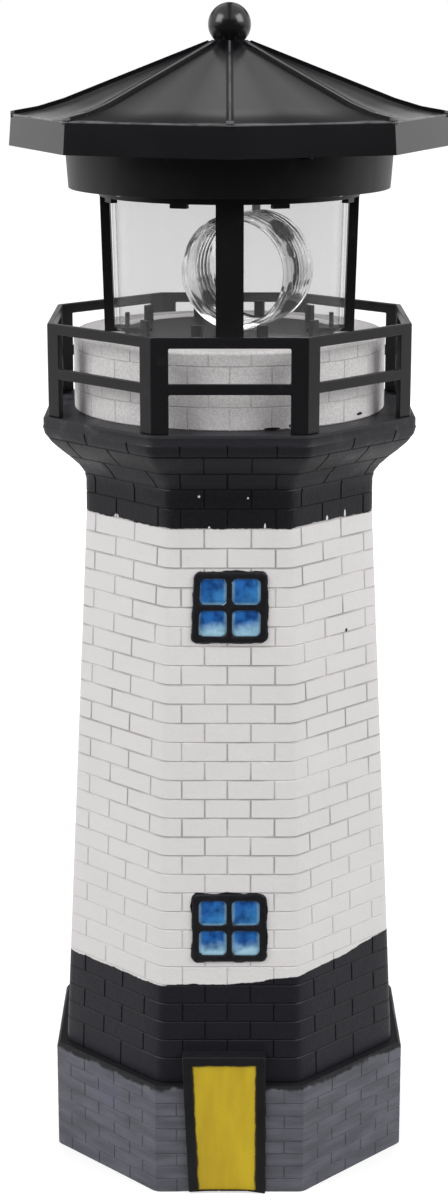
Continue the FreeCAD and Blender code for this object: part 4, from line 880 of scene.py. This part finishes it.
def window(name, middle, seed, lean):
    """A window in relief, made upright and then leant against the front wall."""
    half_wide, half_high = WINDOW_WIDE / 2, WINDOW_HIGH / 2
    piece = box(name, (-half_wide, -WINDOW_RELIEF, -half_high), (half_wide, 1.5, half_high))
    pick(piece, "verts", lambda vert, at: at.x < 0.0 < at.z)
    bpy.ops.transform.translate(value=(lean * MM, 0, 0))
    pick(piece, "faces", lambda face, at: face.normal.y < -0.9)
    bpy.ops.mesh.inset(thickness=FRAME_RIM * MM, depth=0.0)
    cut_plane(piece, (0, 0, 0), (1, 0, 0))
    inside = half_wide - FRAME_RIM
    pick(piece, "faces", lambda face, at: face.normal.y < -0.9 and 1.0 < abs(at.x) < inside
         and abs(at.z) < 1.0)
    cut_plane(piece, (0, 0, 0), (0, 0, 1))
    panes = pick(piece, "faces", lambda face, at: face.normal.y < -0.9 and 1.0 < abs(at.x) < inside
                 and 1.0 < abs(at.z) < inside - 1.0)
    bpy.ops.mesh.inset(thickness=BAR / 2 * MM, depth=0.0, use_individual=True)
    bpy.ops.mesh.extrude_region_move(TRANSFORM_OT_translate={"value": (0, PANE_SINK * MM, 0)})
    pick(piece, "edges", lambda edge, at: abs(edge.verts[0].co.y - edge.verts[1].co.y) > 1.5 * MM)
    bpy.ops.mesh.bevel(offset=1.4 * MM, segments=4, affect="EDGES")
    pick(piece, "edges", lambda edge, at: abs(at.y - (PANE_SINK / 2 - WINDOW_RELIEF)) < 0.05
         and abs(edge.verts[0].co.y - edge.verts[1].co.y) > 0.4 * MM)
    bpy.ops.mesh.bevel(offset=1.3 * MM, segments=4, affect="EDGES")
    pick(piece, "faces", lambda face, at: face.normal.y < -0.9 and face.calc_area() > 20.0 * MM * MM
         and at.y > -WINDOW_RELIEF + 0.3)
    bpy.ops.mesh.inset(thickness=0.9 * MM, depth=0.2 * MM, use_individual=True)
    pick(piece, "edges", lambda edge, at: edge.is_manifold and at.y < -WINDOW_RELIEF + 0.05
         and abs(edge.calc_face_angle(0.0)) > 1.0)
    bpy.ops.mesh.bevel(offset=0.22 * MM, segments=2, affect="EDGES")
    bpy.ops.mesh.select_all(action="SELECT")
    bpy.ops.transform.vertex_random(offset=0.09 * MM, seed=seed)
    map_panes(piece)
    bpy.ops.object.mode_set(mode="OBJECT")
    piece.rotation_euler.x = -WALL_LEAN
    piece.location = Vector((-0.05, -shaft_flats(middle) / 2, middle)) * MM
    settle(piece)
    piece.data.materials.append(window_black)
    piece.data.materials.append(window_blue)
    finish_mesh(piece, 40.0)
    belongs(piece, "tower", "tower", "tower_casting")
    print(name, "panes", panes)


def map_panes(piece):
    """Give the sunk faces the blue paint and a map of 0 to 2 across the window's panes."""
    mesh = bmesh.from_edit_mesh(piece.data)
    layer = mesh.loops.layers.uv.new("panes")
    span_x, span_z = WINDOW_WIDE / 2 - FRAME_RIM, WINDOW_HIGH / 2 - FRAME_RIM
    for face in mesh.faces:
        at = middle_of(face) / MM
        inside = abs(at.x) < span_x - 0.2 and abs(at.z) < span_z - 0.2
        face.material_index = int(inside and at.y > -WINDOW_RELIEF + 0.16 and face.normal.y < -0.5)
        for loop in face.loops:
            spot = loop.vert.co / MM
            loop[layer].uv = (spot.x / span_x + 1.0, spot.z / span_z + 1.0)
    bmesh.update_edit_mesh(piece.data)


window("window_upper", UPPER_WINDOW, 3, 0.6)
window("window_lower", LOWER_WINDOW, 8, 0.0)

# %% [markdown]
# The door is a flat slab in relief that bridges the plinth and the shaft. Its leaf is yellow and narrows a
# little to the foot on its left side, and the black of the frame runs over its edges unevenly.

# %% Door paints
DOOR_FACE, DOOR_MIDDLE, DOOR_WIDE, DOOR_HIGH, DOOR_RIM = -43.2, -1.3, 15.3, 33.0, 2.2
FOOT_NARROWING = 1.5


def door_paint():
    """Yellow in upright strokes, darker where the black bled over its edge."""
    paint = Finish("door_yellow", DOOR_YELLOW, 0.4, Specular_IOR_Level=0.4)
    streak = paint.noise(180.0, 3.0, stretch=(1.0, 1.0, 0.25))
    fine = paint.noise(1300.0, 3.0)
    yellow = paint.blend(streak.ramp(0.3, 0.7), seen(184, 155, 26), seen(203, 176, 30))
    left_edge = (1.0 - paint.z / DOOR_HIGH) * FOOT_NARROWING + (DOOR_MIDDLE - DOOR_WIDE / 2)
    from_side = (paint.x - left_edge).at_most(DOOR_MIDDLE + DOOR_WIDE / 2 - paint.x)
    from_top = DOOR_HIGH - paint.z
    bled = (from_side.at_most(from_top) + (paint.noise(300.0, 3.0) - 0.5) * 1.1).ramp(0.55, 0.05)
    return paint.set(Base_Color=paint.blend(bled, yellow, seen(58, 48, 16)), Roughness=0.35 + fine * 0.15,
                     Normal=paint.bump(streak * 0.5 + fine * 0.5, 0.12))


def dark_paint():
    """The dull black of the door's frame."""
    paint = Finish("door_frame_paint", BLACK_PAINT, 0.55, Specular_IOR_Level=0.22)
    fine = paint.noise(1200.0, 3.0)
    shade = paint.blend(paint.noise(200.0, 3.0), seen(14, 13, 15), seen(27, 26, 29))
    return paint.set(Base_Color=shade, Roughness=fine * 0.2 + 0.45, Normal=paint.bump(fine, 0.15))


print("door leaf", DOOR_WIDE, "by", DOOR_HIGH, "mm")

# %% [markdown]
# The slab's front is inset to leave the frame, the inset's foot is drawn down to the ground, and the leaf
# is pushed in by half a millimetre. The foot follows the plinth's arch.

# %% Door
half_door = DOOR_WIDE / 2 + DOOR_RIM
door = box("door", (DOOR_MIDDLE - half_door, DOOR_FACE, 0.0),
           (DOOR_MIDDLE + half_door, -35.0, DOOR_HIGH + DOOR_RIM))
pick(door, "verts", lambda vert, at: at.z < 0.1 and at.x < DOOR_MIDDLE)
bpy.ops.transform.translate(value=(FOOT_NARROWING * MM, 0, 0))
pick(door, "faces", lambda face, at: face.normal.y < -0.9)
bpy.ops.mesh.inset(thickness=DOOR_RIM * MM, depth=0.0)
pick(door, "verts", lambda vert, at: 0.5 < at.z < 6.0 and at.y < DOOR_FACE + 0.1)
bpy.ops.transform.translate(value=(0, 0, (0.12 - DOOR_RIM) * MM))
pick(door, "faces", lambda face, at: face.normal.y < -0.9 and abs(at.x - DOOR_MIDDLE) < 2.0
     and 10.0 < at.z < 25.0)
bpy.ops.mesh.extrude_region_move(TRANSFORM_OT_translate={"value": (0, 0.5 * MM, 0)})
raise_foot(door, (-6.4, -4.0, -1.4, 1.4, 4.0), 0.4)
pick(door, "edges", lambda edge, at: edge.is_manifold and at.y < DOOR_FACE + 0.05 and at.z > 1.7
     and edge.calc_face_angle(0.0) > 1.0)
bpy.ops.mesh.bevel(offset=0.35 * MM, segments=3, affect="EDGES")
bpy.ops.object.mode_set(mode="OBJECT")
door.data.materials.append(dark_paint())
door.data.materials.append(door_paint())
for face in door.data.polygons:
    face.material_index = int(face.normal.y < -0.9 and face.center.y / MM > DOOR_FACE + 0.3)
finish_mesh(door, 35.0)
belongs(door, "tower", "tower", "tower_casting")

# %% [markdown]
# The railing and the lantern are black plastic. It is never one flat black: it is a little cloudy, dust
# dulls it in patches, and its fine grain blurs what it mirrors.

# %% Black plastic
def black_plastic(name, light, dark, rough, grain, gloss):
    """Cloudy black with a grain, dulled by dust in patches."""
    skin = Finish(name, dark, rough, Specular_IOR_Level=gloss)
    cloud = skin.noise(70.0, 3.0)
    fine = skin.noise(2600.0, 2.0)
    dust = skin.noise(240.0, 4.0, 0.6).ramp(0.58, 0.85)
    colour = skin.blend(cloud, dark, light)
    return skin.set(Base_Color=skin.blend(dust * 0.12, colour, seen(74, 74, 76)),
                    Roughness=rough + (cloud - 0.5) * 0.1 + dust * 0.12,
                    Normal=skin.bump(fine * 0.5 + skin.noise(500.0, 2.0) * 0.5, grain))


lantern_black = black_plastic("lantern_black", seen(18, 18, 20), seen(12, 12, 14), 0.38, 0.02, 0.28)
finial_black = black_plastic("finial_black", seen(18, 18, 20), seen(12, 12, 14), 0.22, 0.01, 0.5)
rail_black = black_plastic("rail_black", seen(25, 24, 27), seen(16, 16, 18), 0.3, 0.04, 0.35)
print("black plastics made")

# %% [markdown]
# The roof is glossier, and its look comes from what it mirrors. On the real roof each facet hollows gently
# towards its ribs. The solid's facets are flat, so a bump that grows towards the ribs stands for the
# hollow. A broken grey line along the edge of the eave and the crest of every rib is a painted highlight.

# %% Roof plastic
EAVE_FLAT, ROOF_FOOT = 46.4, 250.0


def roof_plastic():
    """Glossy black; every facet hollows gently towards its ribs."""
    skin = Finish("roof_black", seen(15, 15, 17), 0.2, Specular_IOR_Level=0.29)
    cloud, fine = skin.noise(70.0, 3.0), skin.noise(2600.0, 2.0)
    radius = (skin.x * skin.x + skin.y * skin.y).power(0.5)
    around = skin.y.maths("ARCTAN2", skin.y, skin.x) / FOLD
    turn = (around.maths("FRACT", around) - 0.5).size() * FOLD
    to_rib = turn.maths("SINE", FOLD / 2 - turn) * radius
    to_eave = EAVE_FLAT - turn.maths("COSINE", turn) * radius
    near_rib = (1.0 - to_rib / radius / 0.27).at_least(0.0)
    hollow = near_rib * near_rib * radius / 50.0 * skin.z.ramp(ROOF_FOOT, ROOF_FOOT + 0.4)
    grain = skin.bump(fine * 0.5 + skin.noise(500.0, 2.0) * 0.5, 0.012)
    # Painted highlight: a grey line, broken up by noise, along the eave's edge and the crest of each rib.
    eave = to_eave.ramp(0.7, 0.3) * skin.z.ramp(ROOF_FOOT - 0.3, ROOF_FOOT - 0.05)
    crest = to_rib.ramp(0.3, 0.14) * skin.z.ramp(ROOF_FOOT + 0.4, ROOF_FOOT + 0.7)
    painted_highlight = (eave * skin.noise(180.0, 3.0).ramp(0.2, 0.6)).at_least(
        crest * skin.noise(90.0, 3.0).ramp(0.25, 0.5) * 0.65)
    black = skin.blend(cloud, seen(12, 12, 14), seen(19, 19, 22))
    return skin.set(Base_Color=skin.blend(painted_highlight, black, seen(104, 104, 106)),
                    Roughness=(cloud - 0.5) * 0.06 + 0.2, Normal=skin.bump(hollow, 0.8, grain))


roof_black = roof_plastic()
print("roof plastic made")

# %% [markdown]
# The solids of the mouldings already have the right form, and only lack their soft edges. Each one is
# copied, its triangles are merged back into flat faces, and every sharp edge gets a tiny round, which
# catches the light as a thin bright line.

# %% Soft mouldings
SHARP = 28.0


def soft_moulding(node, body, slot, edge, finish):
    """Copy a solid, merge its triangles into faces, round its sharp edges and give it a finish."""
    let_go()
    solid = bpy.data.objects[node]
    piece = solid.copy()
    piece.data = solid.data.copy()
    bpy.context.scene.collection.objects.link(piece)
    hold(piece)
    piece.name = piece.data.name = node + "_soft"
    bpy.ops.mesh.customdata_custom_splitnormals_clear()
    bpy.ops.object.mode_set(mode="EDIT")
    bpy.ops.mesh.select_all(action="SELECT")
    bpy.ops.mesh.remove_doubles(threshold=0.003 * MM)
    bpy.ops.mesh.dissolve_limited(angle_limit=math.radians(0.4))
    bpy.ops.object.mode_set(mode="OBJECT")
    bevel = piece.modifiers.new("edge", "BEVEL")
    bevel.limit_method = "ANGLE"
    bevel.angle_limit = math.radians(SHARP)
    bevel.width = edge * MM
    bevel.segments = 2
    bevel.use_clamp_overlap = True
    bpy.ops.object.modifier_apply(modifier="edge")
    bpy.ops.object.shade_smooth_by_angle(angle=math.radians(SHARP))
    piece.modifiers.new("flat", "WEIGHTED_NORMAL").keep_sharp = True
    bpy.ops.object.modifier_apply(modifier="flat")
    piece.data.materials.clear()
    piece.data.materials.append(finish)
    belongs(piece, body, slot, node)
    print(piece.name, len(piece.data.polygons), "faces")


soft_moulding("gallery_railing", "tower", "railing", 0.3, rail_black)
soft_moulding("lantern_frame", "lantern", "black_plastic", 0.12, lantern_black)
soft_moulding("ring_housing", "lantern", "black_plastic", 0.3, lantern_black)
soft_moulding("ceiling_plate", "lantern", "black_plastic", 0.15, lantern_black)
soft_moulding("base_cover", "lantern", "black_plastic", 0.25, lantern_black)
soft_moulding("battery_door", "battery_door", "black_plastic", 0.25, lantern_black)
soft_moulding("roof_shell", "lantern", "roof", 0.25, roof_black)

# %% [markdown]
# The lens and the tube round it are turned forms. A ring of edges is extruded from point to point of the
# outline, scaled about the axis each time, and the last ring is welded to the first. A spin would do it
# too, but this way the points of the outline can be read as radius and height.

# %% Lathe
def lathe(name, outline, sides=96):
    """Turn a closed outline of radius and height about the Z axis, in millimetres."""
    let_go()
    radius, height = outline[0]
    bpy.ops.mesh.primitive_circle_add(vertices=sides, radius=radius * MM, location=(0, 0, height * MM))
    piece = name_it(name)
    settle(piece)
    bpy.ops.object.mode_set(mode="EDIT")
    bpy.ops.mesh.select_mode(type="EDGE")
    bpy.ops.mesh.select_all(action="SELECT")
    for next_radius, next_height in outline[1:] + outline[:1]:
        bpy.ops.mesh.extrude_edges_move(TRANSFORM_OT_translate={"value": (0, 0, (next_height - height) * MM)})
        share = next_radius / radius
        bpy.ops.transform.resize(value=(share, share, 1.0), center_override=(0, 0, 0))
        radius, height = next_radius, next_height
    bpy.ops.object.mode_set(mode="OBJECT")
    return piece


print("lathe ready")

# %% [markdown]
# The tube's wall is so thin that it bends no light. It is a grey veil, mostly see-through, and denser where
# it is seen along the wall. The lens is thicker and does bend light, so it is a real clear plastic. Nearly
# black curls are painted into it at fixed places, and they turn with the lens.

# %% Clear plastics
def hazy_tube():
    """A thin clear wall that bends nothing: a grey veil, thicker where it is seen along the wall."""
    skin = Finish("tube_clear", seen(150, 148, 150), 0.06, Specular_IOR_Level=0.7)
    weight = skin.node("ShaderNodeLayerWeight", inputs={"Blend": 0.3})
    rim = skin.out(weight, "Facing").ramp(0.45, 1.0)
    smear = skin.noise(45.0, 3.0, stretch=(1.0, 1.0, 0.3))
    return skin.set(Base_Color=skin.blend(smear, seen(108, 107, 109), seen(124, 122, 124)),
                    Alpha=(rim * 0.4 + smear * 0.05 + 0.115).at_most(1.0), Roughness=smear * 0.1 + 0.04,
                    Normal=skin.bump(skin.noise(90.0, 1.0), 0.02))


DARK_CURLS = [((12.3, -9.5, 224.6), (4.2, 5.0, 3.0)), ((13.8, -13.0, 220.4), (1.3, 2.2, 2.0)),
              ((15.3, -12.2, 216.8), (0.8, 1.8, 2.4)), ((14.9, -13.4, 213.8), (0.9, 1.6, 1.7)),
              ((13.6, -15.2, 211.9), (1.2, 1.8, 1.7)), ((14.6, -9.0, 207.6), (4.0, 6.5, 2.6)),
              ((0.0, 2.5, 225.0), (3.0, 3.5, 2.4)), ((-5.0, -1.0, 207.5), (2.0, 3.0, 2.6))]


def clear_plastic(name, face_on, edge_on, rough, bending):
    """Plastic that darkens where it is seen along its wall, and in dark curls painted at fixed places."""
    skin = Finish(name, (face_on,) * 3, rough, IOR=bending, Specular_IOR_Level=0.5, Transmission_Weight=1.0)
    weight = skin.node("ShaderNodeLayerWeight", inputs={"Blend": 0.35})
    rim = skin.out(weight, "Facing").ramp(0.25, 1.0)
    smear = skin.noise(60.0, 3.0).ramp(0.45, 0.8) * 0.05
    cloudy = skin.noise(110.0, 3.0).ramp(0.45, 0.62)
    # Nearly black curls, painted at fixed places on the lens.
    dark_curl = skin.blot(*DARK_CURLS[0], 0.3)
    for curl_spot in DARK_CURLS[1:]:
        dark_curl = dark_curl.at_least(skin.blot(*curl_spot, 0.3))
    body = skin.blend(cloudy * 0.6, (face_on,) * 3, (edge_on,) * 3)
    body = skin.blend(rim, body, (edge_on,) * 3)
    return skin.set(Base_Color=skin.blend(dark_curl * 0.97, body, (0.004,) * 3), Roughness=smear + rough,
                    Normal=skin.bump(skin.noise(90.0, 1.0), 0.03))


print("clear plastics ready")

# %% [markdown]
# The lens is an open barrel lying on its side under a white spindle. It has a small bead at its front edge,
# a smooth stretch behind that, and then stepped rings down to its back edge. Its outline is turned upright
# about the Z axis and then laid over. The tube widens slightly to its top.

# %% Lens and tube
BARREL, BARREL_LONG, BARREL_WALL, PRISM, PRISM_DEEP = 13.2, 16.2, 1.0, 2.0, 0.4
SPINDLE_X, BARREL_AXIS, BARREL_LEAD, BARREL_TURN = 6.2, 215.1, 5.1, -22.8
SMOOTH_STEPS, STEPS = 2, 8
inner, end = BARREL - BARREL_WALL, BARREL_LONG / 2
outline = [(BARREL, -end + 0.25), (BARREL, end - 0.25), (BARREL - 0.25, end), (inner - 0.1, end),
           (inner - 0.35, end - 0.25), (inner - 0.35, end - 0.8), (inner, end - 1.2)]
for step in range(SMOOTH_STEPS, STEPS):
    foot = end - 0.1 - PRISM * step
    outline += [(inner, foot), (inner - PRISM_DEEP, foot - PRISM * 0.9)]
outline += [(inner, -end + 0.05), (inner + 0.25, -end), (BARREL - 0.25, -end)]
barrel = lathe("stepped_lens", [(r, h + BARREL_LEAD) for r, h in outline], 128)
barrel.rotation_euler = (math.radians(90.0), 0.0, math.radians(BARREL_TURN))
barrel.location = (SPINDLE_X * MM, 0.0, BARREL_AXIS * MM)
settle(barrel)
lens_clear = clear_plastic("lens_clear", 0.93, 0.5, 0.1, 1.2)
barrel.data.materials.append(lens_clear)
finish_mesh(barrel, 32.0)
belongs(barrel, "lens", "clear", "lens_barrel")

tube = lathe("lantern_tube", [(25.8, 201.3), (26.6, 201.3), (27.4, 232.8), (26.6, 232.8)], 128)
tube.data.materials.append(hazy_tube())
finish_mesh(tube, 32.0)
belongs(tube, "lantern", "clear", "clear_cylinder")

# %% [markdown]
# Most of the works are hidden: the motor, its gears, the solar cell and the battery sit in the roof, the
# ring and the plug. Their solids stay as they are and get the finish of the real part. Gears are milky
# acetal with a little grease, and plated steel is brushed along its length and a little stained.

# %% Milky plastic and steel
def dress(finish, *nodes):
    """Give solids that stay as they are their finish."""
    for node in nodes:
        solid = bpy.data.objects[node]
        solid.data.materials.clear()
        solid.data.materials.append(finish)


def milky_plastic(name, light, dark, rough, grease):
    """Pale plastic with smears of grease."""
    skin = Finish(name, light, rough, Specular_IOR_Level=0.45)
    cloud, fine = skin.noise(120.0, 3.0), skin.noise(2200.0, 2.0)
    smear = skin.noise(350.0, 3.0).ramp(0.55, 0.8) * grease
    colour = skin.blend(cloud, light, dark)
    return skin.set(Base_Color=skin.blend(smear, colour, seen(178, 156, 104)),
                    Roughness=rough - smear * 0.4 + (fine - 0.5) * 0.1, Normal=skin.bump(fine, 0.03))


def plated_steel(name, rough, brushing, shade=1.0):
    """Brushed metal; the shade darkens it to blackened steel."""
    metal = Finish(name, seen(186, 186, 190), rough, Metallic=1.0)
    brushed = metal.noise(900.0, 3.0, stretch=brushing)
    stain = metal.noise(260.0, 4.0, 0.6).ramp(0.55, 0.8)
    dull, bright, stained = (seen(*(part * shade for part in colour))
                             for colour in ((164, 164, 168), (202, 202, 206), (128, 120, 108)))
    return metal.set(Base_Color=metal.blend(stain * 0.4, metal.blend(brushed, dull, bright), stained),
                     Roughness=(brushed - 0.5) * 0.2 + stain * 0.15 + rough, Normal=metal.bump(brushed, 0.02))


print("milky plastic and steel ready")

# %% [markdown]
# The cell is blue silicon with thin silver fingers one way and two broad bars the other, and a pale gap
# between its strips. The board has traces under a green mask and tinned pads. The battery has a plain
# printed sleeve and bare ends. The lamp is a clear dome over a yellow chip.

# %% Cell, board, battery and lamp
def solar_silicon():
    """Blue crystal with silver fingers and bars."""
    cell = Finish("solar_silicon", seen(18, 24, 52), 0.25, Coat_Weight=0.6, Coat_Roughness=0.06)
    crystal = cell.noise(220.0, 2.0, stretch=(1.0, 0.4, 1.0))
    blue = cell.blend(crystal, seen(13, 17, 42), seen(26, 34, 76))
    silver = (cell.y.stripes(1.6, 0.07) * 0.6).at_least((cell.x - 5.0).stripes(10.0, 0.4))
    gap = cell.x.stripes(10.0, 0.25)
    colour = cell.blend(gap, cell.blend(silver, blue, seen(176, 178, 186)), seen(206, 208, 206))
    return cell.set(Base_Color=colour, Roughness=crystal * 0.1 + silver * 0.15 + 0.2,
                    Normal=cell.bump(silver * 0.5 + crystal * 0.2, 0.04))


def green_board():
    """Traces under a green mask, and rows of pads."""
    board = Finish("board_green", seen(24, 92, 50), 0.32, Specular_IOR_Level=0.5)
    slanted = (board.x + board.y * 0.4).stripes(1.9, 0.22) * board.noise(90.0, 1.0).ramp(0.45, 0.5)
    level = board.y.stripes(2.54, 0.2) * board.noise(70.0, 1.0).ramp(0.5, 0.55)
    copper = slanted.at_least(level)
    pads = board.x.stripes(2.54, 0.45) * board.y.stripes(2.54, 0.45) * board.noise(160.0, 1.0).ramp(0.5, 0.54)
    mask = board.blend(copper, seen(16, 70, 38), seen(38, 118, 64))
    return board.set(Base_Color=board.blend(pads, mask, seen(198, 192, 172)), Metallic=pads * 0.7,
                     Roughness=0.36 - pads * 0.1 + (board.noise(900.0) - 0.5) * 0.1,
                     Normal=board.bump(copper * 0.6 + pads * 0.4, 0.05))


def battery_sleeve():
    """A green and black sleeve, creased round the can, with bare metal past its ends."""
    sleeve = Finish("battery_sleeve", seen(34, 104, 60), 0.28, Specular_IOR_Level=0.5)
    cloud, crease = sleeve.noise(90.0, 3.0), sleeve.noise(420.0, 3.0, stretch=(0.2, 1.0, 1.0))
    bare = sleeve.x.size().ramp(13.0, 13.2)
    band = sleeve.x.ramp(6.0, 6.15)
    colour = sleeve.blend(band, sleeve.blend(cloud, seen(28, 96, 54), seen(44, 118, 70)), seen(24, 26, 28))
    colour = sleeve.blend(sleeve.x.stripes(40.0, 0.25), colour, seen(200, 204, 200))
    return sleeve.set(Base_Color=sleeve.blend(bare, colour, seen(176, 176, 180)), Metallic=bare,
                      Roughness=crease * 0.15 + 0.22, Normal=sleeve.bump(crease, 0.05))


def led_epoxy():
    """A clear little dome with the yellow spot of the lit chip on its axis."""
    dome = Finish("led_epoxy", seen(236, 236, 228), 0.12, Transmission_Weight=0.35, IOR=1.5)
    reach = ((dome.x - 6.2) * (dome.x - 6.2) + dome.y * dome.y).power(0.5)
    cloud = dome.noise(600.0, 2.0)
    clear = dome.blend(cloud, seen(238, 238, 232), seen(222, 222, 212))
    return dome.set(Base_Color=dome.blend(reach.ramp(0.85, 0.35), clear, seen(232, 206, 96)),
                    Roughness=cloud * 0.08 + 0.08, Normal=dome.bump(cloud, 0.01))


print("works' finishes ready")

# %% [markdown]
# Each solid that has no new piece of its own gets its finish here, sorted by what it is made of.

# %% Dress the works
acetal = milky_plastic("acetal", seen(226, 224, 212), seen(210, 207, 194), 0.4, 0.35)
white_abs = milky_plastic("white_abs", seen(228, 228, 224), seen(214, 214, 210), 0.35, 0.05)
steel = plated_steel("plated_steel", 0.28, (1.0, 1.0, 0.1))
screw_steel = plated_steel("screw_steel", 0.34, (1.0, 1.0, 1.0))
black_steel = plated_steel("black_steel", 0.4, (1.0, 1.0, 1.0), 0.16)
frame_black = black_plastic("frame_black", seen(30, 30, 32), seen(20, 20, 22), 0.5, 0.05, 0.3)
wire_black = black_plastic("wire_black", seen(26, 26, 27), seen(16, 16, 17), 0.45, 0.03, 0.4)
dress(finial_black, "finial")
dress(acetal, "drive_gear", "idler_gear", "motor_pinion")
dress(white_abs, "spindle", "switch_knob")
dress(steel, "idler_pin", "motor_can", "motor_shaft", "battery_contacts")
dress(screw_steel, "ceiling_screws", "gear_plate_screws", "cover_screws")
dress(black_steel, "roof_screws")
dress(frame_black, "cell_frame", "gear_plate", "switch_body")
dress(wire_black, "lead_wire")
dress(solar_silicon(), "solar_cell")
dress(green_board(), "circuit_board")
dress(battery_sleeve(), "battery")
dress(led_epoxy(), "led")
print("works dressed")

# %% [markdown]
# The ornament stands on a sweep of white paper. The paper is white for what looks at it, also through the
# glass, and less bright for what it lights, so the shadow under the ornament stays. Glossy parts see it
# bright behind the ornament and dark in front, as in a room that is dim behind the camera, which keeps a
# black front black.

# %% Floor
def looked_at(tree):
    """1 for camera and see-through rays, and 1 for mirrored rays, as two outputs."""
    rays = tree.nodes.new("ShaderNodeLightPath")
    direct = tree.nodes.new("ShaderNodeMath")
    direct.operation = "MAXIMUM"
    tree.links.new(rays.outputs["Is Camera Ray"], direct.inputs[0])
    tree.links.new(rays.outputs["Is Transmission Ray"], direct.inputs[1])
    return direct.outputs[0], rays.outputs["Is Glossy Ray"]


def paper_floor():
    """White paper, eight metres of it, that belongs to the studio and not to the ornament."""
    let_go()
    bpy.ops.mesh.primitive_plane_add(size=8.0, location=(0, 0, 0))
    floor = name_it("floor")
    paper = Finish("floor_paper", (0.46, 0.46, 0.46), 0.9, Emission_Strength=0.84, Specular_IOR_Level=0.0)
    direct, mirrored = (Value(paper, socket) for socket in looked_at(paper.tree))
    sweep = paper.y.ramp(-160.0, 20.0) * 0.55 + 0.05
    far = (paper.x * paper.x + paper.y * paper.y).power(0.5).ramp(90.0, 900.0)
    white = (direct + mirrored * sweep) * (far * 0.25 + 0.75)
    grain = paper.blend(paper.noise(6.0, 2.0), (0.45, 0.45, 0.45), (0.47, 0.47, 0.47))
    grain = paper.blend(mirrored * paper.y.ramp(20.0, -160.0) * 0.9, grain, (0.0, 0.0, 0.0))
    glow = paper.blend(white.at_most(1.0), (0, 0, 0), (1, 1, 1))
    floor.data.materials.append(paper.set(Base_Color=grain, Emission_Color=glow))


paper_floor()
print("floor laid")

# %% [markdown]
# The world is the rest of the studio. Glossy parts see two broad soft boxes overhead with a dark gap
# between them, which draws the dark ribs on the grey roof, and something bright at the far sides and low
# behind.

# %% Surround
class Sky(Finish):
    """The same sums, in a world's tree."""

    def __init__(self, tree):
        self.tree = tree


def studio_world():
    """White to the camera, plain soft light on the ornament, and boxes for what is mirrored."""
    world = bpy.data.worlds.new("studio")
    world.use_nodes = True
    bpy.context.scene.world = world
    sky = Sky(world.node_tree)
    direct, mirrored = (Value(sky, socket) for socket in looked_at(sky.tree))
    aim = sky.node("ShaderNodeSeparateXYZ", inputs={"Vector": sky.node("ShaderNodeTexCoord").outputs[0]})
    across, ahead, up = (sky.out(aim, axis) for axis in "XYZ")
    overhead = up.ramp(0.40, 0.52) * across.size().ramp(0.065, 0.125)
    sides = across.size().ramp(0.55, 0.8) * ahead.ramp(-0.55, -0.3)
    low_back = ahead.ramp(-0.2, 0.3) * up.ramp(0.3, 0.1)
    seen_in_gloss = (overhead + sides + low_back).at_most(1.0) * 0.9 + 0.08
    strength = direct + mirrored * seen_in_gloss + (1.0 - direct - mirrored) * 0.53
    background = sky.tree.nodes["Background"]
    background.inputs["Color"].default_value = (1, 1, 1, 1)
    sky.feed(background.inputs["Strength"], strength)


studio_world()
print("surround", bpy.context.scene.world.name)

# %% [markdown]
# Two soft lamps stand high at the sides, a little in front, so that the side walls are as bright as the
# front. A weaker one behind fills the back walls, and it is kept out of reflections.

# %% Lamps
TOWER_MIDDLE = (0.0, 0.0, 0.13)


def soft_lamp(name, place, size, power, in_gloss=True):
    """A rectangular lamp turned towards the middle of the tower."""
    data = bpy.data.lights.new(name, "AREA")
    data.shape = "RECTANGLE"
    data.size, data.size_y = size
    data.energy = power
    lamp = bpy.data.objects.new(name, data)
    bpy.context.scene.collection.objects.link(lamp)
    lamp.location = place
    lamp.visible_glossy = in_gloss
    lamp.rotation_euler = (Vector(TOWER_MIDDLE) - Vector(place)).to_track_quat("-Z", "Y").to_euler()


soft_lamp("left_box", (-0.90, -0.46, 0.80), (0.7, 0.7), 9.5)
soft_lamp("right_box", (0.90, -0.46, 0.80), (0.7, 0.7), 9.5)
soft_lamp("back_box", (0.0, 1.05, 0.60), (0.9, 0.6), 6.5, False)
bpy.context.scene.view_settings.view_transform = "Standard"
